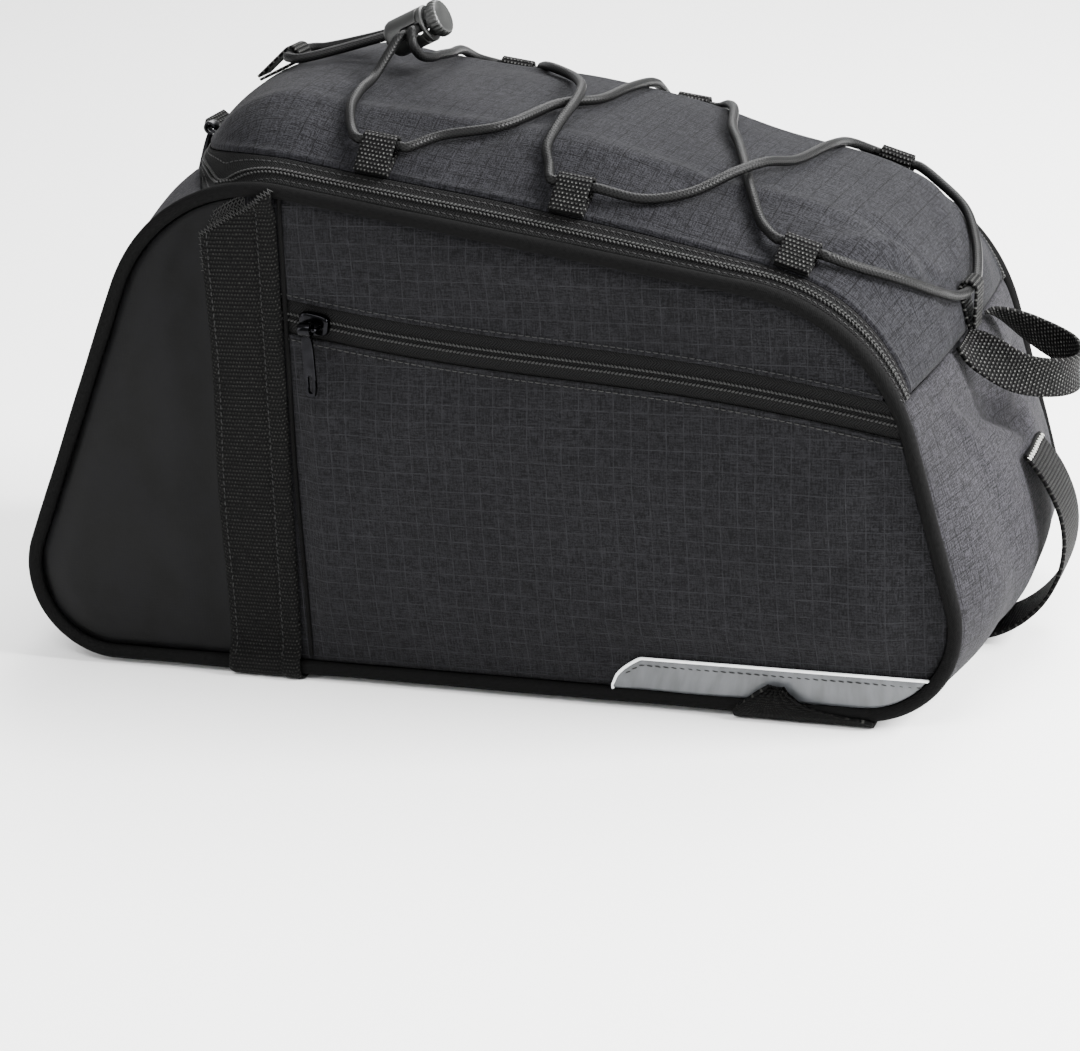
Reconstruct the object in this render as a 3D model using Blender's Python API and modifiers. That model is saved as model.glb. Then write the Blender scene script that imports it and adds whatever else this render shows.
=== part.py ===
"""Bicycle trunk bag: a padded, hollow cloth bag with a zipped lid, piping, straps and a laced elastic cord with its lock.

Metres, +Z up. X runs along the bag, towards its rear. The side seen in a view along +Y is the near side.
The origin is on the floor, under the middle of the base.

The side seams follow one closed outline in the XZ plane, a four-sided shape with rounded corners. The walls
between the two seams are one band swept round that outline: at a distance s along it and y across it, the
outer face stands height(s, y) off the outline, along the outline's normal.
"""

import math

import bmesh
import bpy
import numpy as np
from mathutils import Matrix, Vector

# Driving sizes of the bag, in metres and degrees
BASE_LENGTH = 0.400  # side outline at the base, from corner to corner, before rounding
BASE_CENTRE_X = -0.005
BAG_WIDTH = 0.176  # between the centres of the two pipings
FRONT_HEIGHT = 0.1977  # side outline, from the base line to the front top corner
REAR_HEIGHT = 0.150
FRONT_LEAN = 25.0
REAR_LEAN = 12.9
CORNER_RADII = {"front_base": 0.032, "front_top": 0.068, "rear_top": 0.070, "rear_base": 0.036}
PIPING_RADIUS = 0.0027
BASE_DROP = 0.002  # how far the base pad stands below the piping

# Walls and gaps
GAP = 0.0003
POCKET_WALL_GAP = 0.0005  # between a side wall and the flat border of its outer layer
SEAM_GAP = 0.0007  # along a seam, between the edges of two curved walls
WALL = 0.003
CLOTH = 0.0015
WEBBING = 0.0015
LOOP_WEBBING = 0.0011
EDGE_RISE = 0.001  # how far a band's outer face stands off the outline at its edge

# Puffs of the end walls and the rise of the lid
FRONT_PUFF = 0.013
REAR_PUFF = 0.012
BASE_PUFF = 0.001
LID_CREST = 0.0305
LID_POWER = 3.4  # how steeply the lid rises from its edge
LID_CORNER = 0.032  # radius of the lid's front corners in plan
LID_FRONT_SEAM = 0.028  # front seam of the zipper band at mid width, past the start of the front top corner
LID_FRONT_SWEEP = 0.026  # how much further back that seam meets the piping
LID_FRONT_BOW = 1.6  # power of that sweep over the half width
LID_REAR_SEAM = 0.0135  # rear seam of the lid, before the end of the rear top corner
ZIP_BAND = 0.008  # width of the zipper band, measured in plan

# Rack straps
STRAP_WIDTH = 0.031
STRAP_TOP_X = -0.1975 * BASE_LENGTH
STRAP_BASE_X = -0.2175 * BASE_LENGTH
STRAP_CUT = 0.018  # the strap's top end is cut on the slant: its rear corner stands this much higher
BASE_STRAP_X = 0.32375 * BASE_LENGTH
BASE_STRAP_WIDTH = 0.052
BASE_STRAP_TIP = 0.0095  # height of the pinched end above the piping's centre
BASE_STRAP_LIFT = 0.0002  # how much further out that end stands than the strap on the piping
STRAP_GROOVE_EASE = 0.002  # how much wider a groove in the base is than its strap

# Pocket on the near side
POCKET_ZIP_FRONT_Z = 0.1495  # middle of the zipper at the strap
POCKET_ZIP_REAR_Z = 0.1165  # middle of the zipper at the rear
POCKET_ZIP_WIDTH = 0.0135
POCKET_PUFF = 0.0048
PANEL_PUFF = 0.002
PANEL_BORDER = 0.016
PANEL_SLOPE = 0.014
REFLECTOR_HEIGHT = 0.0125
REFLECTOR_FRONT_X = 0.14 * BASE_LENGTH
REFLECTOR_THICK = 0.0008

# Loops
LID_LOOP_WIDTH = 0.013
LID_LOOP_REACH = 0.0095  # from the lid seam to the middle of the eye, across the bag
LID_LOOP_X = (-0.07875 * BASE_LENGTH, 0.108 * BASE_LENGTH, 0.3125 * BASE_LENGTH)
CORD_RADIUS = 0.0019
EYE_RADIUS = 0.0025
EYE_HEIGHT = EYE_RADIUS + LOOP_WEBBING + 0.0007  # middle of an eye, over the cloth that its loop lies on
END_LOOP_WIDTH = 0.011
FRONT_LOOP_X = -0.215 * BASE_LENGTH
FRONT_LOOP_REACH = 0.0112
REAR_LOOP_REACH = 0.0125
GRAB_WIDTH = 0.015
GRAB_REACH = 0.040
GRAB_MIDDLE_Y = 0.009
LIGHT_STRAP_WIDTH = 0.030
LIGHT_STRAP_Y = 0.012
LIGHT_STRAP_TOP_Z = 0.077
LIGHT_STRAP_STANDOFF = 0.0085
LIGHT_STRAP_FOOT = 0.014  # its lower end, before the rear base corner along the outline
TAB_WIDTH = 0.012
TAB_LENGTH = 0.016
TAB_Y = 0.012

# Cord lock
LOCK_X = -0.12725 * BASE_LENGTH
LOCK_Y = -0.002
LOCK_LIFT = 0.0113287  # from the lid to the middle of the barrel's foot
LOCK_TILT = 23.3
LOCK_RADIUS = 0.0073
LOCK_LENGTH = 0.0185
LOCK_FLOOR = 0.0025
BUTTON_RADIUS = 0.0052
BUTTON_CLEARANCE = 0.0003
BUTTON_TRAVEL = 0.002
BUTTON_CAP = 0.0038
CORD_HOLE_AT = 0.0125  # middle of the cord hole along the barrel
CORD_HOLE_LENGTH = 0.0092
CORD_HOLE_WIDTH = 0.0052

# Zipper sliders and pullers
SLIDER_LENGTH = 0.012
SLIDER_WIDTH = 0.0085
SLIDER_THICK = 0.003
MAIN_SLIDER_SHIFT = 0.0005  # up from the middle of the zipper band
MAIN_SLIDER_LIFT = 0.0005  # off the zipper band
BAIL_THICK = 0.0016
BAIL_WINDOW = 0.0050  # height of the window under the bail
PULLER_EYE = 0.0016
PULLER_RIM = 0.0011
PULLER_LENGTH = 0.026
PULLER_WIDTH = 0.0046
PULLER_HALF = 0.0009  # half of its thickness
POCKET_SLIDER_X = -0.13125 * BASE_LENGTH

# Side outline: lines and arcs from the rear end of the base line, round the front, top and rear


def rounded_outline(corners, radii):
    """Rows of (length, start x, start z, heading, curvature) round a closed outline, clockwise from the last corner."""
    count = len(corners)
    heads = []
    for i in range(count):
        ahead = corners[i] - corners[i - 1]
        heads.append(math.atan2(ahead[1], ahead[0]))
    cuts = []
    turns = []
    for i in range(count):
        turn = (heads[i] - heads[(i + 1) % count]) % (2 * math.pi)
        turns.append(turn)
        cuts.append(radii[i] * math.tan(turn / 2))
    rows = []
    for i in range(count):
        along = np.array([math.cos(heads[i]), math.sin(heads[i])])
        start = corners[i - 1] + along * cuts[i - 1]
        end = corners[i] - along * cuts[i]
        rows.append((float(np.linalg.norm(end - start)), *start, heads[i], 0.0))
        rows.append((radii[i] * turns[i], *end, heads[i], -1 / radii[i]))
    return np.array(rows)


BASE_Z = BASE_DROP + PIPING_RADIUS
FRONT_BASE = np.array([BASE_CENTRE_X - BASE_LENGTH / 2, BASE_Z])
REAR_BASE = np.array([BASE_CENTRE_X + BASE_LENGTH / 2, BASE_Z])
FRONT_TOP = FRONT_BASE + FRONT_HEIGHT * np.array([math.tan(math.radians(FRONT_LEAN)), 1])
REAR_TOP = REAR_BASE + REAR_HEIGHT * np.array([-math.tan(math.radians(REAR_LEAN)), 1])
OUTLINE = rounded_outline(
    [FRONT_BASE, FRONT_TOP, REAR_TOP, REAR_BASE],
    [CORNER_RADII[name] for name in ("front_base", "front_top", "rear_top", "rear_base")],
)
STARTS = np.concatenate([[0.0], np.cumsum(OUTLINE[:, 0])])
OUTLINE_LENGTH = STARTS[-1]

# Places along the outline
BASE_END = STARTS[1]
LID_START = STARTS[3] + LID_FRONT_SEAM
LID_END = STARTS[6] - LID_REAR_SEAM
HALF_BAND = BAG_WIDTH / 2 - PIPING_RADIUS - GAP


def outline_at(s):
    """Position (x, z) and outward normal (x, z) at distance s along the outline."""
    s = np.mod(np.asarray(s, float), OUTLINE_LENGTH)
    row = np.clip(np.searchsorted(STARTS, s, side="right") - 1, 0, len(OUTLINE) - 1)
    _, x, z, head, bend = np.moveaxis(OUTLINE[row], -1, 0)
    run = s - STARTS[row]
    head_now = head + bend * run
    straight = bend == 0
    safe = np.where(straight, 1.0, bend)
    dx = np.where(straight, run * np.cos(head), (np.sin(head_now) - np.sin(head)) / safe)
    dz = np.where(straight, run * np.sin(head), (np.cos(head) - np.cos(head_now)) / safe)
    return x + dx, z + dz, -np.sin(head_now), np.cos(head_now)


def smooth_rows(at, places, values):
    """A smooth curve through rows of (place, value)."""
    places = np.asarray(places, float)
    values = np.asarray(values, float)
    slopes = np.gradient(values, places)
    at = np.clip(at, places[0], places[-1])
    row = np.clip(np.searchsorted(places, at, side="right") - 1, 0, len(places) - 2)
    step = places[row + 1] - places[row]
    t = (at - places[row]) / step
    return (
        (1 + 2 * t) * (1 - t) ** 2 * values[row]
        + t * (1 - t) ** 2 * step * slopes[row]
        + t**2 * (3 - 2 * t) * values[row + 1]
        + t**2 * (t - 1) * step * slopes[row + 1]
    )


# Columns: share of the wall's length from its first seam to its last, share of its puff
FRONT_PUFF_ROWS = ((0.0, 0.10), (0.2, 0.10), (0.40, 0.36), (0.60, 0.82), (0.82, 1.0), (1.0, 1.0))
REAR_PUFF_ROWS = ((0.0, 0.30), (0.14, 0.62), (0.34, 1.0), (0.55, 0.95), (0.78, 0.50), (1.0, 0.0))
# Columns: share of the lid's length from front seam to rear seam, share of its crest, share of the front puff
LID_ROWS = (
    (0.0, 0.80, 1.0),
    (0.066, 0.94, 0.62),
    (0.198, 0.93, 0.12),
    (0.338, 0.965, 0.0),
    (0.447, 1.0, 0.0),
    (0.515, 0.98, 0.0),
    (0.608, 0.88, 0.0),
    (0.690, 0.75, 0.0),
    (0.788, 0.65, 0.0),
    (0.852, 0.60, 0.02),
    (0.931, 0.38, 0.10),
    (1.0, 0.06, 0.30),
)
# Folds and dents. Columns: wall, share along the wall, share across the half width, half length and half width
# as shares of the bag's width, slant in degrees, depth as a share of the wall's puff or crest
FOLDS = (
    ("rear", 0.20, -0.02, 0.135, 0.042, 50.0, 0.42),
    ("rear", 0.30, 0.55, 0.120, 0.045, 35.0, 0.16),
    ("lid", 0.68, -0.42, 0.040, 0.030, 70.0, 0.06),
    ("lid", 0.88, -0.35, 0.110, 0.035, 20.0, 0.07),
    ("lid", 0.535, -0.80, 0.120, 0.070, 0.0, 0.07),
    ("lid", 0.535, 0.80, 0.120, 0.070, 0.0, 0.07),
    ("lid", 0.80, -0.80, 0.120, 0.070, 0.0, 0.12),
    ("lid", 0.80, 0.80, 0.120, 0.070, 0.0, 0.12),
    ("front", 0.72, 0.10, 0.160, 0.050, 15.0, 0.16),
)


def folds_of(wall, along, y, length):
    """Depth of the wall's folds, as a share, at a share along it and at y."""
    depth = np.zeros(np.broadcast(along, y).shape)
    for name, at, across, half_length, half_width, slant, deep in FOLDS:
        if name != wall:
            continue
        du = (along - at) * length
        dv = y - across * HALF_BAND
        turn = math.radians(slant)
        run = du * math.cos(turn) + dv * math.sin(turn)
        off = dv * math.cos(turn) - du * math.sin(turn)
        depth += deep * np.exp(-((run / (half_length * BAG_WIDTH)) ** 2) - (off / (half_width * BAG_WIDTH)) ** 2)
    return depth


def belly(y, power=2.6):
    """Share of the puff across a wall: 1 in the middle, 0 at the seams."""
    return 1 - np.minimum(np.abs(y) / HALF_BAND, 1) ** power


def front_height(s, y):
    """The front wall runs past the lid's front seam at mid width, so its puff goes on into the lid's."""
    length = LID_START - BASE_END
    along = (s - BASE_END) / length
    places, _, puffs = zip(*LID_ROWS)
    past = smooth_rows((s - LID_START) / (LID_END - LID_START), places, puffs)
    puff = np.where(s < LID_START, smooth_rows(along, *zip(*FRONT_PUFF_ROWS)), past)
    puff = puff - folds_of("front", along, y, length)
    return EDGE_RISE + BASE_PUFF * np.maximum(1 - along, 0) + FRONT_PUFF * puff * belly(y)


def rear_height(s, y):
    length = OUTLINE_LENGTH - LID_END
    along = (s - LID_END) / length
    puff = smooth_rows(along, *zip(*REAR_PUFF_ROWS)) - folds_of("rear", along, y, length)
    return EDGE_RISE + BASE_PUFF * along + REAR_PUFF * puff * belly(y)


def front_seam(y):
    """Place of the zipper band's front seam, which bows back towards the piping."""
    return LID_START + LID_FRONT_SWEEP * (np.abs(y) / HALF_BAND) ** LID_FRONT_BOW


def inside_lid(s, y):
    """Distance in plan from the lid's outer edge, with rounded front corners."""
    ahead = s - front_seam(y)
    aside = HALF_BAND - np.abs(y)
    corner = LID_CORNER - np.hypot(np.maximum(LID_CORNER - ahead, 0), np.maximum(LID_CORNER - aside, 0))
    return np.where((ahead < LID_CORNER) & (aside < LID_CORNER), corner, np.minimum(ahead, aside))


def lid_height(s, y):
    places, crests, puffs = zip(*LID_ROWS)
    length = LID_END - LID_START
    along = (s - LID_START) / length
    inward = np.clip(inside_lid(s, y) / HALF_BAND, 0, 1)
    rise = 1 - (1 - inward) ** LID_POWER
    crest = smooth_rows(along, places, crests) - folds_of("lid", along, y, length)
    return EDGE_RISE + FRONT_PUFF * smooth_rows(along, places, puffs) * belly(y) + LID_CREST * crest * rise


def band_point(height, s, y, off=0.0):
    """Points of a wall's outer face, moved outward by off."""
    s, y = np.broadcast_arrays(np.asarray(s, float), np.asarray(y, float))
    x, z, nx, nz = outline_at(s)
    up = height(s, y) + off
    return np.stack([x + nx * up, y, z + nz * up], axis=-1)


def band_axes(height, s, y):
    """Axes on a wall at one place: along the outline, across the bag, and out of the face."""
    step = 0.0005
    along = band_point(height, s + step, y) - band_point(height, s - step, y)
    across = band_point(height, s, y + step) - band_point(height, s, y - step)
    out = np.cross(along, across)
    out = out / np.linalg.norm(out)
    _, _, nx, nz = outline_at(s)
    if out[0] * nx + out[2] * nz < 0:
        out = -out
    return along / np.linalg.norm(along), across / np.linalg.norm(across), out


def place_on_top(x):
    """Distance along the outline of the point of its upper part that has this x."""
    s = np.linspace(STARTS[3], STARTS[6], 400)
    return float(np.interp(x, outline_at(s)[0], s))


# Scene, materials and modifiers


def clear_scene():
    for obj in list(bpy.data.objects):
        bpy.data.objects.remove(obj, do_unlink=True)


def collection(name, shown=True):
    made = bpy.data.collections.new(name)
    bpy.context.scene.collection.children.link(made)
    made.hide_render = not shown
    return made


# Columns: sRGB colour, roughness, metallic
FINISHES = {
    "ripstop": ("#3b3a3e", 0.85, 0.0),
    "padded_cloth": ("#343337", 0.88, 0.0),
    "coated_cloth": ("#1d1d1f", 0.45, 0.0),
    "piping_cloth": ("#343331", 0.8, 0.0),
    "zipper_tape": ("#2c2c2b", 0.85, 0.0),
    "webbing": ("#1f1f1f", 0.85, 0.0),
    "reflective_cloth": ("#8d9094", 0.5, 0.0),
    "elastic_cord": ("#2b2c29", 0.6, 0.0),
    "black_plastic": ("#1f201f", 0.4, 0.0),
    "dark_metal": ("#2a2a2c", 0.3, 0.9),
}


def linear(hex_colour):
    shades = []
    for i in (1, 3, 5):
        c = int(hex_colour[i : i + 2], 16) / 255
        shades.append(c / 12.92 if c <= 0.04045 else ((c + 0.055) / 1.055) ** 2.4)
    return (*shades, 1.0)


def make_materials():
    made = {}
    for name, (colour, roughness, metallic) in FINISHES.items():
        material = bpy.data.materials.new(name)
        material.use_nodes = True
        shader = material.node_tree.nodes["Principled BSDF"]
        shader.inputs["Base Color"].default_value = linear(colour)
        shader.inputs["Roughness"].default_value = roughness
        shader.inputs["Metallic"].default_value = metallic
        material.diffuse_color = linear(colour)
        made[name] = material
    return made


def add_object(name, mesh, finish):
    obj = bpy.data.objects.new(name, mesh)
    BAG.objects.link(obj)
    mesh.materials.append(MATERIALS[finish])
    return obj


def solidify(obj, thickness, offset=-1.0):
    modifier = obj.modifiers.new("Thickness", "SOLIDIFY")
    modifier.thickness = thickness
    modifier.offset = offset
    modifier.use_even_offset = True
    return modifier


def mirror_across(obj):
    modifier = obj.modifiers.new("Other side", "MIRROR")
    modifier.use_axis = (False, True, False)
    modifier.merge_threshold = 0.0001
    return modifier


def sheet(name, points, finish, flip=False):
    """An open surface from a grid primitive whose rows and columns take the places in points."""
    rows, columns = points.shape[:2]
    bm = bmesh.new()
    bmesh.ops.create_grid(bm, x_segments=columns - 1, y_segments=rows - 1, size=1.0)
    for vert in bm.verts:
        column = round((vert.co.x + 1) / 2 * (columns - 1))
        row = round((vert.co.y + 1) / 2 * (rows - 1))
        vert.co = Vector(points[row, column])
    if flip:
        bmesh.ops.reverse_faces(bm, faces=bm.faces)
    mesh = bpy.data.meshes.new(name)
    bm.to_mesh(mesh)
    bm.free()
    mesh.shade_smooth()
    return add_object(name, mesh, finish)


def tube(name, points, radius, finish, cyclic=False, resolution=2):
    """A round tube along points, as a curve with a bevel."""
    curve = bpy.data.curves.new(name, "CURVE")
    curve.dimensions = "3D"
    curve.bevel_depth = radius
    curve.bevel_resolution = resolution
    curve.use_fill_caps = True
    spline = curve.splines.new("POLY")
    spline.points.add(len(points) - 1)
    for target, point in zip(spline.points, points):
        target.co = (*point, 1.0)
    spline.use_cyclic_u = cyclic
    obj = bpy.data.objects.new(name, curve)
    BAG.objects.link(obj)
    curve.materials.append(MATERIALS[finish])
    return obj


def flat_mesh(name, outlines, thickness):
    """A closed mesh from flat outlines in local XY, the later ones holes, extruded along local Z."""
    curve = bpy.data.curves.new(name, "CURVE")
    curve.dimensions = "2D"
    curve.fill_mode = "BOTH"
    curve.extrude = thickness / 2
    for outline in outlines:
        spline = curve.splines.new("POLY")
        spline.points.add(len(outline) - 1)
        for target, point in zip(spline.points, outline):
            target.co = (point[0], point[1], 0.0, 1.0)
        spline.use_cyclic_u = True
    guide = bpy.data.objects.new(name + "_outline", curve)
    bpy.context.scene.collection.objects.link(guide)
    bpy.context.view_layer.update()
    mesh = bpy.data.meshes.new_from_object(guide.evaluated_get(bpy.context.evaluated_depsgraph_get()))
    bpy.data.objects.remove(guide, do_unlink=True)
    bm = bmesh.new()
    bm.from_mesh(mesh)
    bmesh.ops.remove_doubles(bm, verts=bm.verts, dist=1e-6)
    bmesh.ops.recalc_face_normals(bm, faces=bm.faces)
    bm.to_mesh(mesh)
    bm.free()
    mesh.name = name
    return mesh


def box_mesh(name, size, centre=(0, 0, 0), bevel=0.0, segments=2):
    bm = bmesh.new()
    bmesh.ops.create_cube(bm, size=1.0)
    bmesh.ops.scale(bm, vec=Vector(size), verts=bm.verts)
    bmesh.ops.translate(bm, vec=Vector(centre), verts=bm.verts)
    if bevel:
        bmesh.ops.bevel(bm, geom=bm.edges, offset=bevel, segments=segments, affect="EDGES", profile=0.5)
    mesh = bpy.data.meshes.new(name)
    bm.to_mesh(mesh)
    bm.free()
    return mesh


def cutter(name, mesh):
    obj = bpy.data.objects.new(name, mesh)
    CUTTERS.objects.link(obj)
    obj.hide_render = True
    obj.display_type = "WIRE"
    return obj


def boolean(obj, other, operation):
    modifier = obj.modifiers.new(other.name, "BOOLEAN")
    modifier.operation = operation
    modifier.object = other
    modifier.solver = "EXACT"


def spread(start, end, count):
    return np.linspace(start, end, count)


# Main shell


def build_base():
    """The stiff pad under the bag. Two grooves across its underside take the straps."""
    front = outline_at(BASE_END)[0]
    rear = outline_at(0.0)[0]
    top = BASE_Z - EDGE_RISE + WALL
    size = (rear - front - 2 * SEAM_GAP, 2 * HALF_BAND, top)
    mesh = box_mesh("base_panel", size, ((front + rear) / 2, 0, top / 2))
    base = add_object("base_panel", mesh, "padded_cloth")
    depth = BASE_DROP + GAP / 3
    for name, x, width in (
        ("strap_groove", STRAP_BASE_X, STRAP_WIDTH + STRAP_GROOVE_EASE),
        ("base_strap_groove", BASE_STRAP_X, BASE_STRAP_WIDTH + STRAP_GROOVE_EASE),
    ):
        groove = box_mesh(name, (width, BAG_WIDTH * 1.2, 2 * depth), (x, 0, 0))
        boolean(base, cutter(name, groove), "DIFFERENCE")


def build_end_wall(name, height, start, end, rows, columns):
    """A curved wall between two seams. Its end may be a place or a function of y."""
    y = HALF_BAND * np.sin(spread(-1, 1, columns) * math.pi / 2)[None, :]
    finish = end(y) if callable(end) else end
    s = start + (finish - start) * spread(0, 1, rows)[:, None]
    wall = sheet(name, band_point(height, s, y), "ripstop", flip=True)
    solidify(wall, WALL)


def past_corner(y, share):
    """Place at a share of the way from the end of the lid's front corner to its rear seam."""
    return (front_seam(y) + LID_CORNER) * (1 - share) + (LID_END - SEAM_GAP / 2) * share


def build_lid():
    edge = ZIP_BAND + SEAM_GAP
    radius = LID_CORNER - edge
    across = np.sin(spread(-1, 1, 19) * math.pi / 2 * 0.94) / math.sin(math.pi / 2 * 0.94)
    places = []
    for turn in np.radians(spread(0, 90, 6)):
        y = across * (HALF_BAND - LID_CORNER + radius * math.sin(turn))
        places.append(np.stack([front_seam(y) + LID_CORNER - radius * math.cos(turn), y], axis=1))
    y = across * (HALF_BAND - edge)
    for share in spread(0, 1, 21)[1:]:
        places.append(np.stack([past_corner(y, share), y], axis=1))
    places = np.array(places)
    lid = sheet("lid", band_point(lid_height, places[..., 0], places[..., 1]), "ripstop", flip=True)
    solidify(lid, WALL)


def build_zipper_band():
    """The near half of the band, from the rear seam to the middle of the front, mirrored."""
    outer = []
    inside = []
    inner_y = ZIP_BAND - HALF_BAND
    for share in spread(1, 0, 18)[:-1]:
        outer.append((past_corner(-HALF_BAND, share), -HALF_BAND))
        inside.append((past_corner(inner_y, share), inner_y))
    radius = LID_CORNER - ZIP_BAND
    for turn in np.radians(spread(0, 90, 9)):
        ahead = LID_CORNER * max(1 - math.tan(turn), 0) if turn < 1.5 else 0.0
        aside = LID_CORNER * max(1 - math.tan(math.pi / 2 - turn), 0) if turn > 0.1 else 0.0
        y = aside - HALF_BAND
        outer.append((front_seam(y) + max(ahead, SEAM_GAP / 2), y))
        y = LID_CORNER - radius * math.cos(turn) - HALF_BAND
        inside.append((front_seam(y) + LID_CORNER - radius * math.sin(turn), y))
    for y in spread(LID_CORNER - HALF_BAND, 0, 5)[1:]:
        outer.append((front_seam(y) + SEAM_GAP / 2, y))
        inside.append((front_seam(y) + ZIP_BAND, y))
    outer = np.array(outer)
    inside = np.array(inside)
    blend = spread(0, 1, 4)[None, :, None]
    places = outer[:, None] * (1 - blend) + inside[:, None] * blend
    band = sheet("zipper_band", band_point(lid_height, places[..., 0], places[..., 1]), "zipper_tape")
    mirror_across(band)
    solidify(band, WALL)


# Side walls


def side_outline(inset, steps=7):
    """Points (x, z) round the side, inside the piping's centre line by inset."""
    s = []
    for row, (start, end) in enumerate(zip(STARTS[:-1], STARTS[1:])):
        s.extend(spread(start, end, steps if row % 2 else 2)[:-1])
    x, z, nx, nz = outline_at(np.array(s))
    return np.stack([x - nx * inset, z - nz * inset], axis=1)


def strap_middle(z):
    """x of the strap's centre line at a height."""
    low = BASE_Z
    high = FRONT_TOP[1]
    return STRAP_BASE_X + (STRAP_TOP_X - STRAP_BASE_X) * (z - low) / (high - low)


def zip_line(x, side=0.0):
    """Height of the pocket zipper at x. Side is -1 at its lower edge and 1 at its upper edge."""
    front = strap_middle(POCKET_ZIP_FRONT_Z)
    share = (x - front) / (outline_at(LID_END)[0] - front)
    sag = 0.002 * np.sin(np.clip(share, 0, 1) * 2 * math.pi)
    middle = POCKET_ZIP_FRONT_Z + (POCKET_ZIP_REAR_Z - POCKET_ZIP_FRONT_Z) * share - sag
    return middle + side * (POCKET_ZIP_WIDTH / 2 + GAP / 2)


def clip_region(points, keep):
    """The part of an outline where keep(x, z) is positive, with the crossings found by bisection."""
    kept = []
    for i, point in enumerate(points):
        ahead = points[(i + 1) % len(points)]
        here = keep(*point)
        there = keep(*ahead)
        if here > 0:
            kept.append(point)
        if (here > 0) != (there > 0):
            low, high = (point, ahead) if here > 0 else (ahead, point)
            for _ in range(40):
                middle = (low + high) / 2
                if keep(*middle) > 0:
                    low = middle
                else:
                    high = middle
            kept.append(low)
    return np.array(kept)


def refine(points, longest):
    """The outline with its long edges divided."""
    made = []
    for i, point in enumerate(points):
        ahead = points[(i + 1) % len(points)]
        pieces = max(1, math.ceil(np.linalg.norm(ahead - point) / longest))
        for k in range(pieces):
            made.append(point + (ahead - point) * k / pieces)
    return np.array(made)


def spine_of(region):
    """Ends of the line inside a region that its inner edges draw in towards."""
    dense = refine(region, 0.004)
    middle = dense.mean(axis=0)
    _, turn = np.linalg.eigh(np.cov((dense - middle).T))
    along = turn[:, 1]
    spread_along = (dense - middle) @ along
    spread_across = (dense - middle) @ turn[:, 0]
    half = max(np.ptp(spread_along) - 1.05 * np.ptp(spread_across), 0.0) / 2
    centre = middle + along * (spread_along.max() + spread_along.min()) / 2
    return centre - along * half, centre + along * half


def edge_distance(point, region):
    """Distance from a point to the nearest edge of a region."""
    ahead = np.roll(region, -1, axis=0) - region
    share = np.clip(((point - region) * ahead).sum(axis=1) / (ahead**2).sum(axis=1), 0, 1)
    return float(np.linalg.norm(region + ahead * share[:, None] - point, axis=1).min())


def drawn_in(point, spine, region, inset):
    """A point moved towards the nearest place on a spine until it is inset from the region's edges."""
    start, end = spine
    run = end - start
    share = np.dot(point - start, run) / max(np.dot(run, run), 1e-12)
    reach = start + run * min(max(share, 0.0), 1.0) - point
    low, high = 0.0, 0.85
    for _ in range(24):
        middle = (low + high) / 2
        if edge_distance(point + reach * middle, region) < inset:
            low = middle
        else:
            high = middle
    return point + reach * high


def panel(name, region, side, finish, puff=0.0, border=PANEL_BORDER, slope=PANEL_SLOPE):
    """A layer of cloth on a side, flat at its border and puffed inside it."""
    bm = bmesh.new()
    face = bm.faces.new([bm.verts.new((x, 0, z)) for x, z in region])
    face.normal_update()
    if face.normal.y > 0:
        face.normal_flip()
    if puff:
        spine = spine_of(region)
        for share in (0.0, 0.5, 1.0):
            bmesh.ops.inset_individual(bm, faces=[face], thickness=0.0)
            for vert in face.verts:
                x, z = drawn_in(np.array([vert.co.x, vert.co.z]), spine, region, border + slope * share)
                inside = edge_distance(np.array([x, z]), region)
                rise = np.clip((inside - border) / slope, 0, 1)
                vert.co = Vector((x, -puff * rise**2 * (3 - 2 * rise), z))
    bmesh.ops.translate(bm, vec=Vector((0, -(BAG_WIDTH / 2), 0)), verts=bm.verts)
    if side > 0:
        bmesh.ops.scale(bm, vec=Vector((1, -1, 1)), verts=bm.verts)
        bmesh.ops.reverse_faces(bm, faces=bm.faces)
    bmesh.ops.triangulate(bm, faces=[f for f in bm.faces if len(f.verts) > 4])
    mesh = bpy.data.meshes.new(name)
    bm.to_mesh(mesh)
    bm.free()
    obj = add_object(name, mesh, finish)
    solidify(obj, CLOTH)
    return obj


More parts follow.
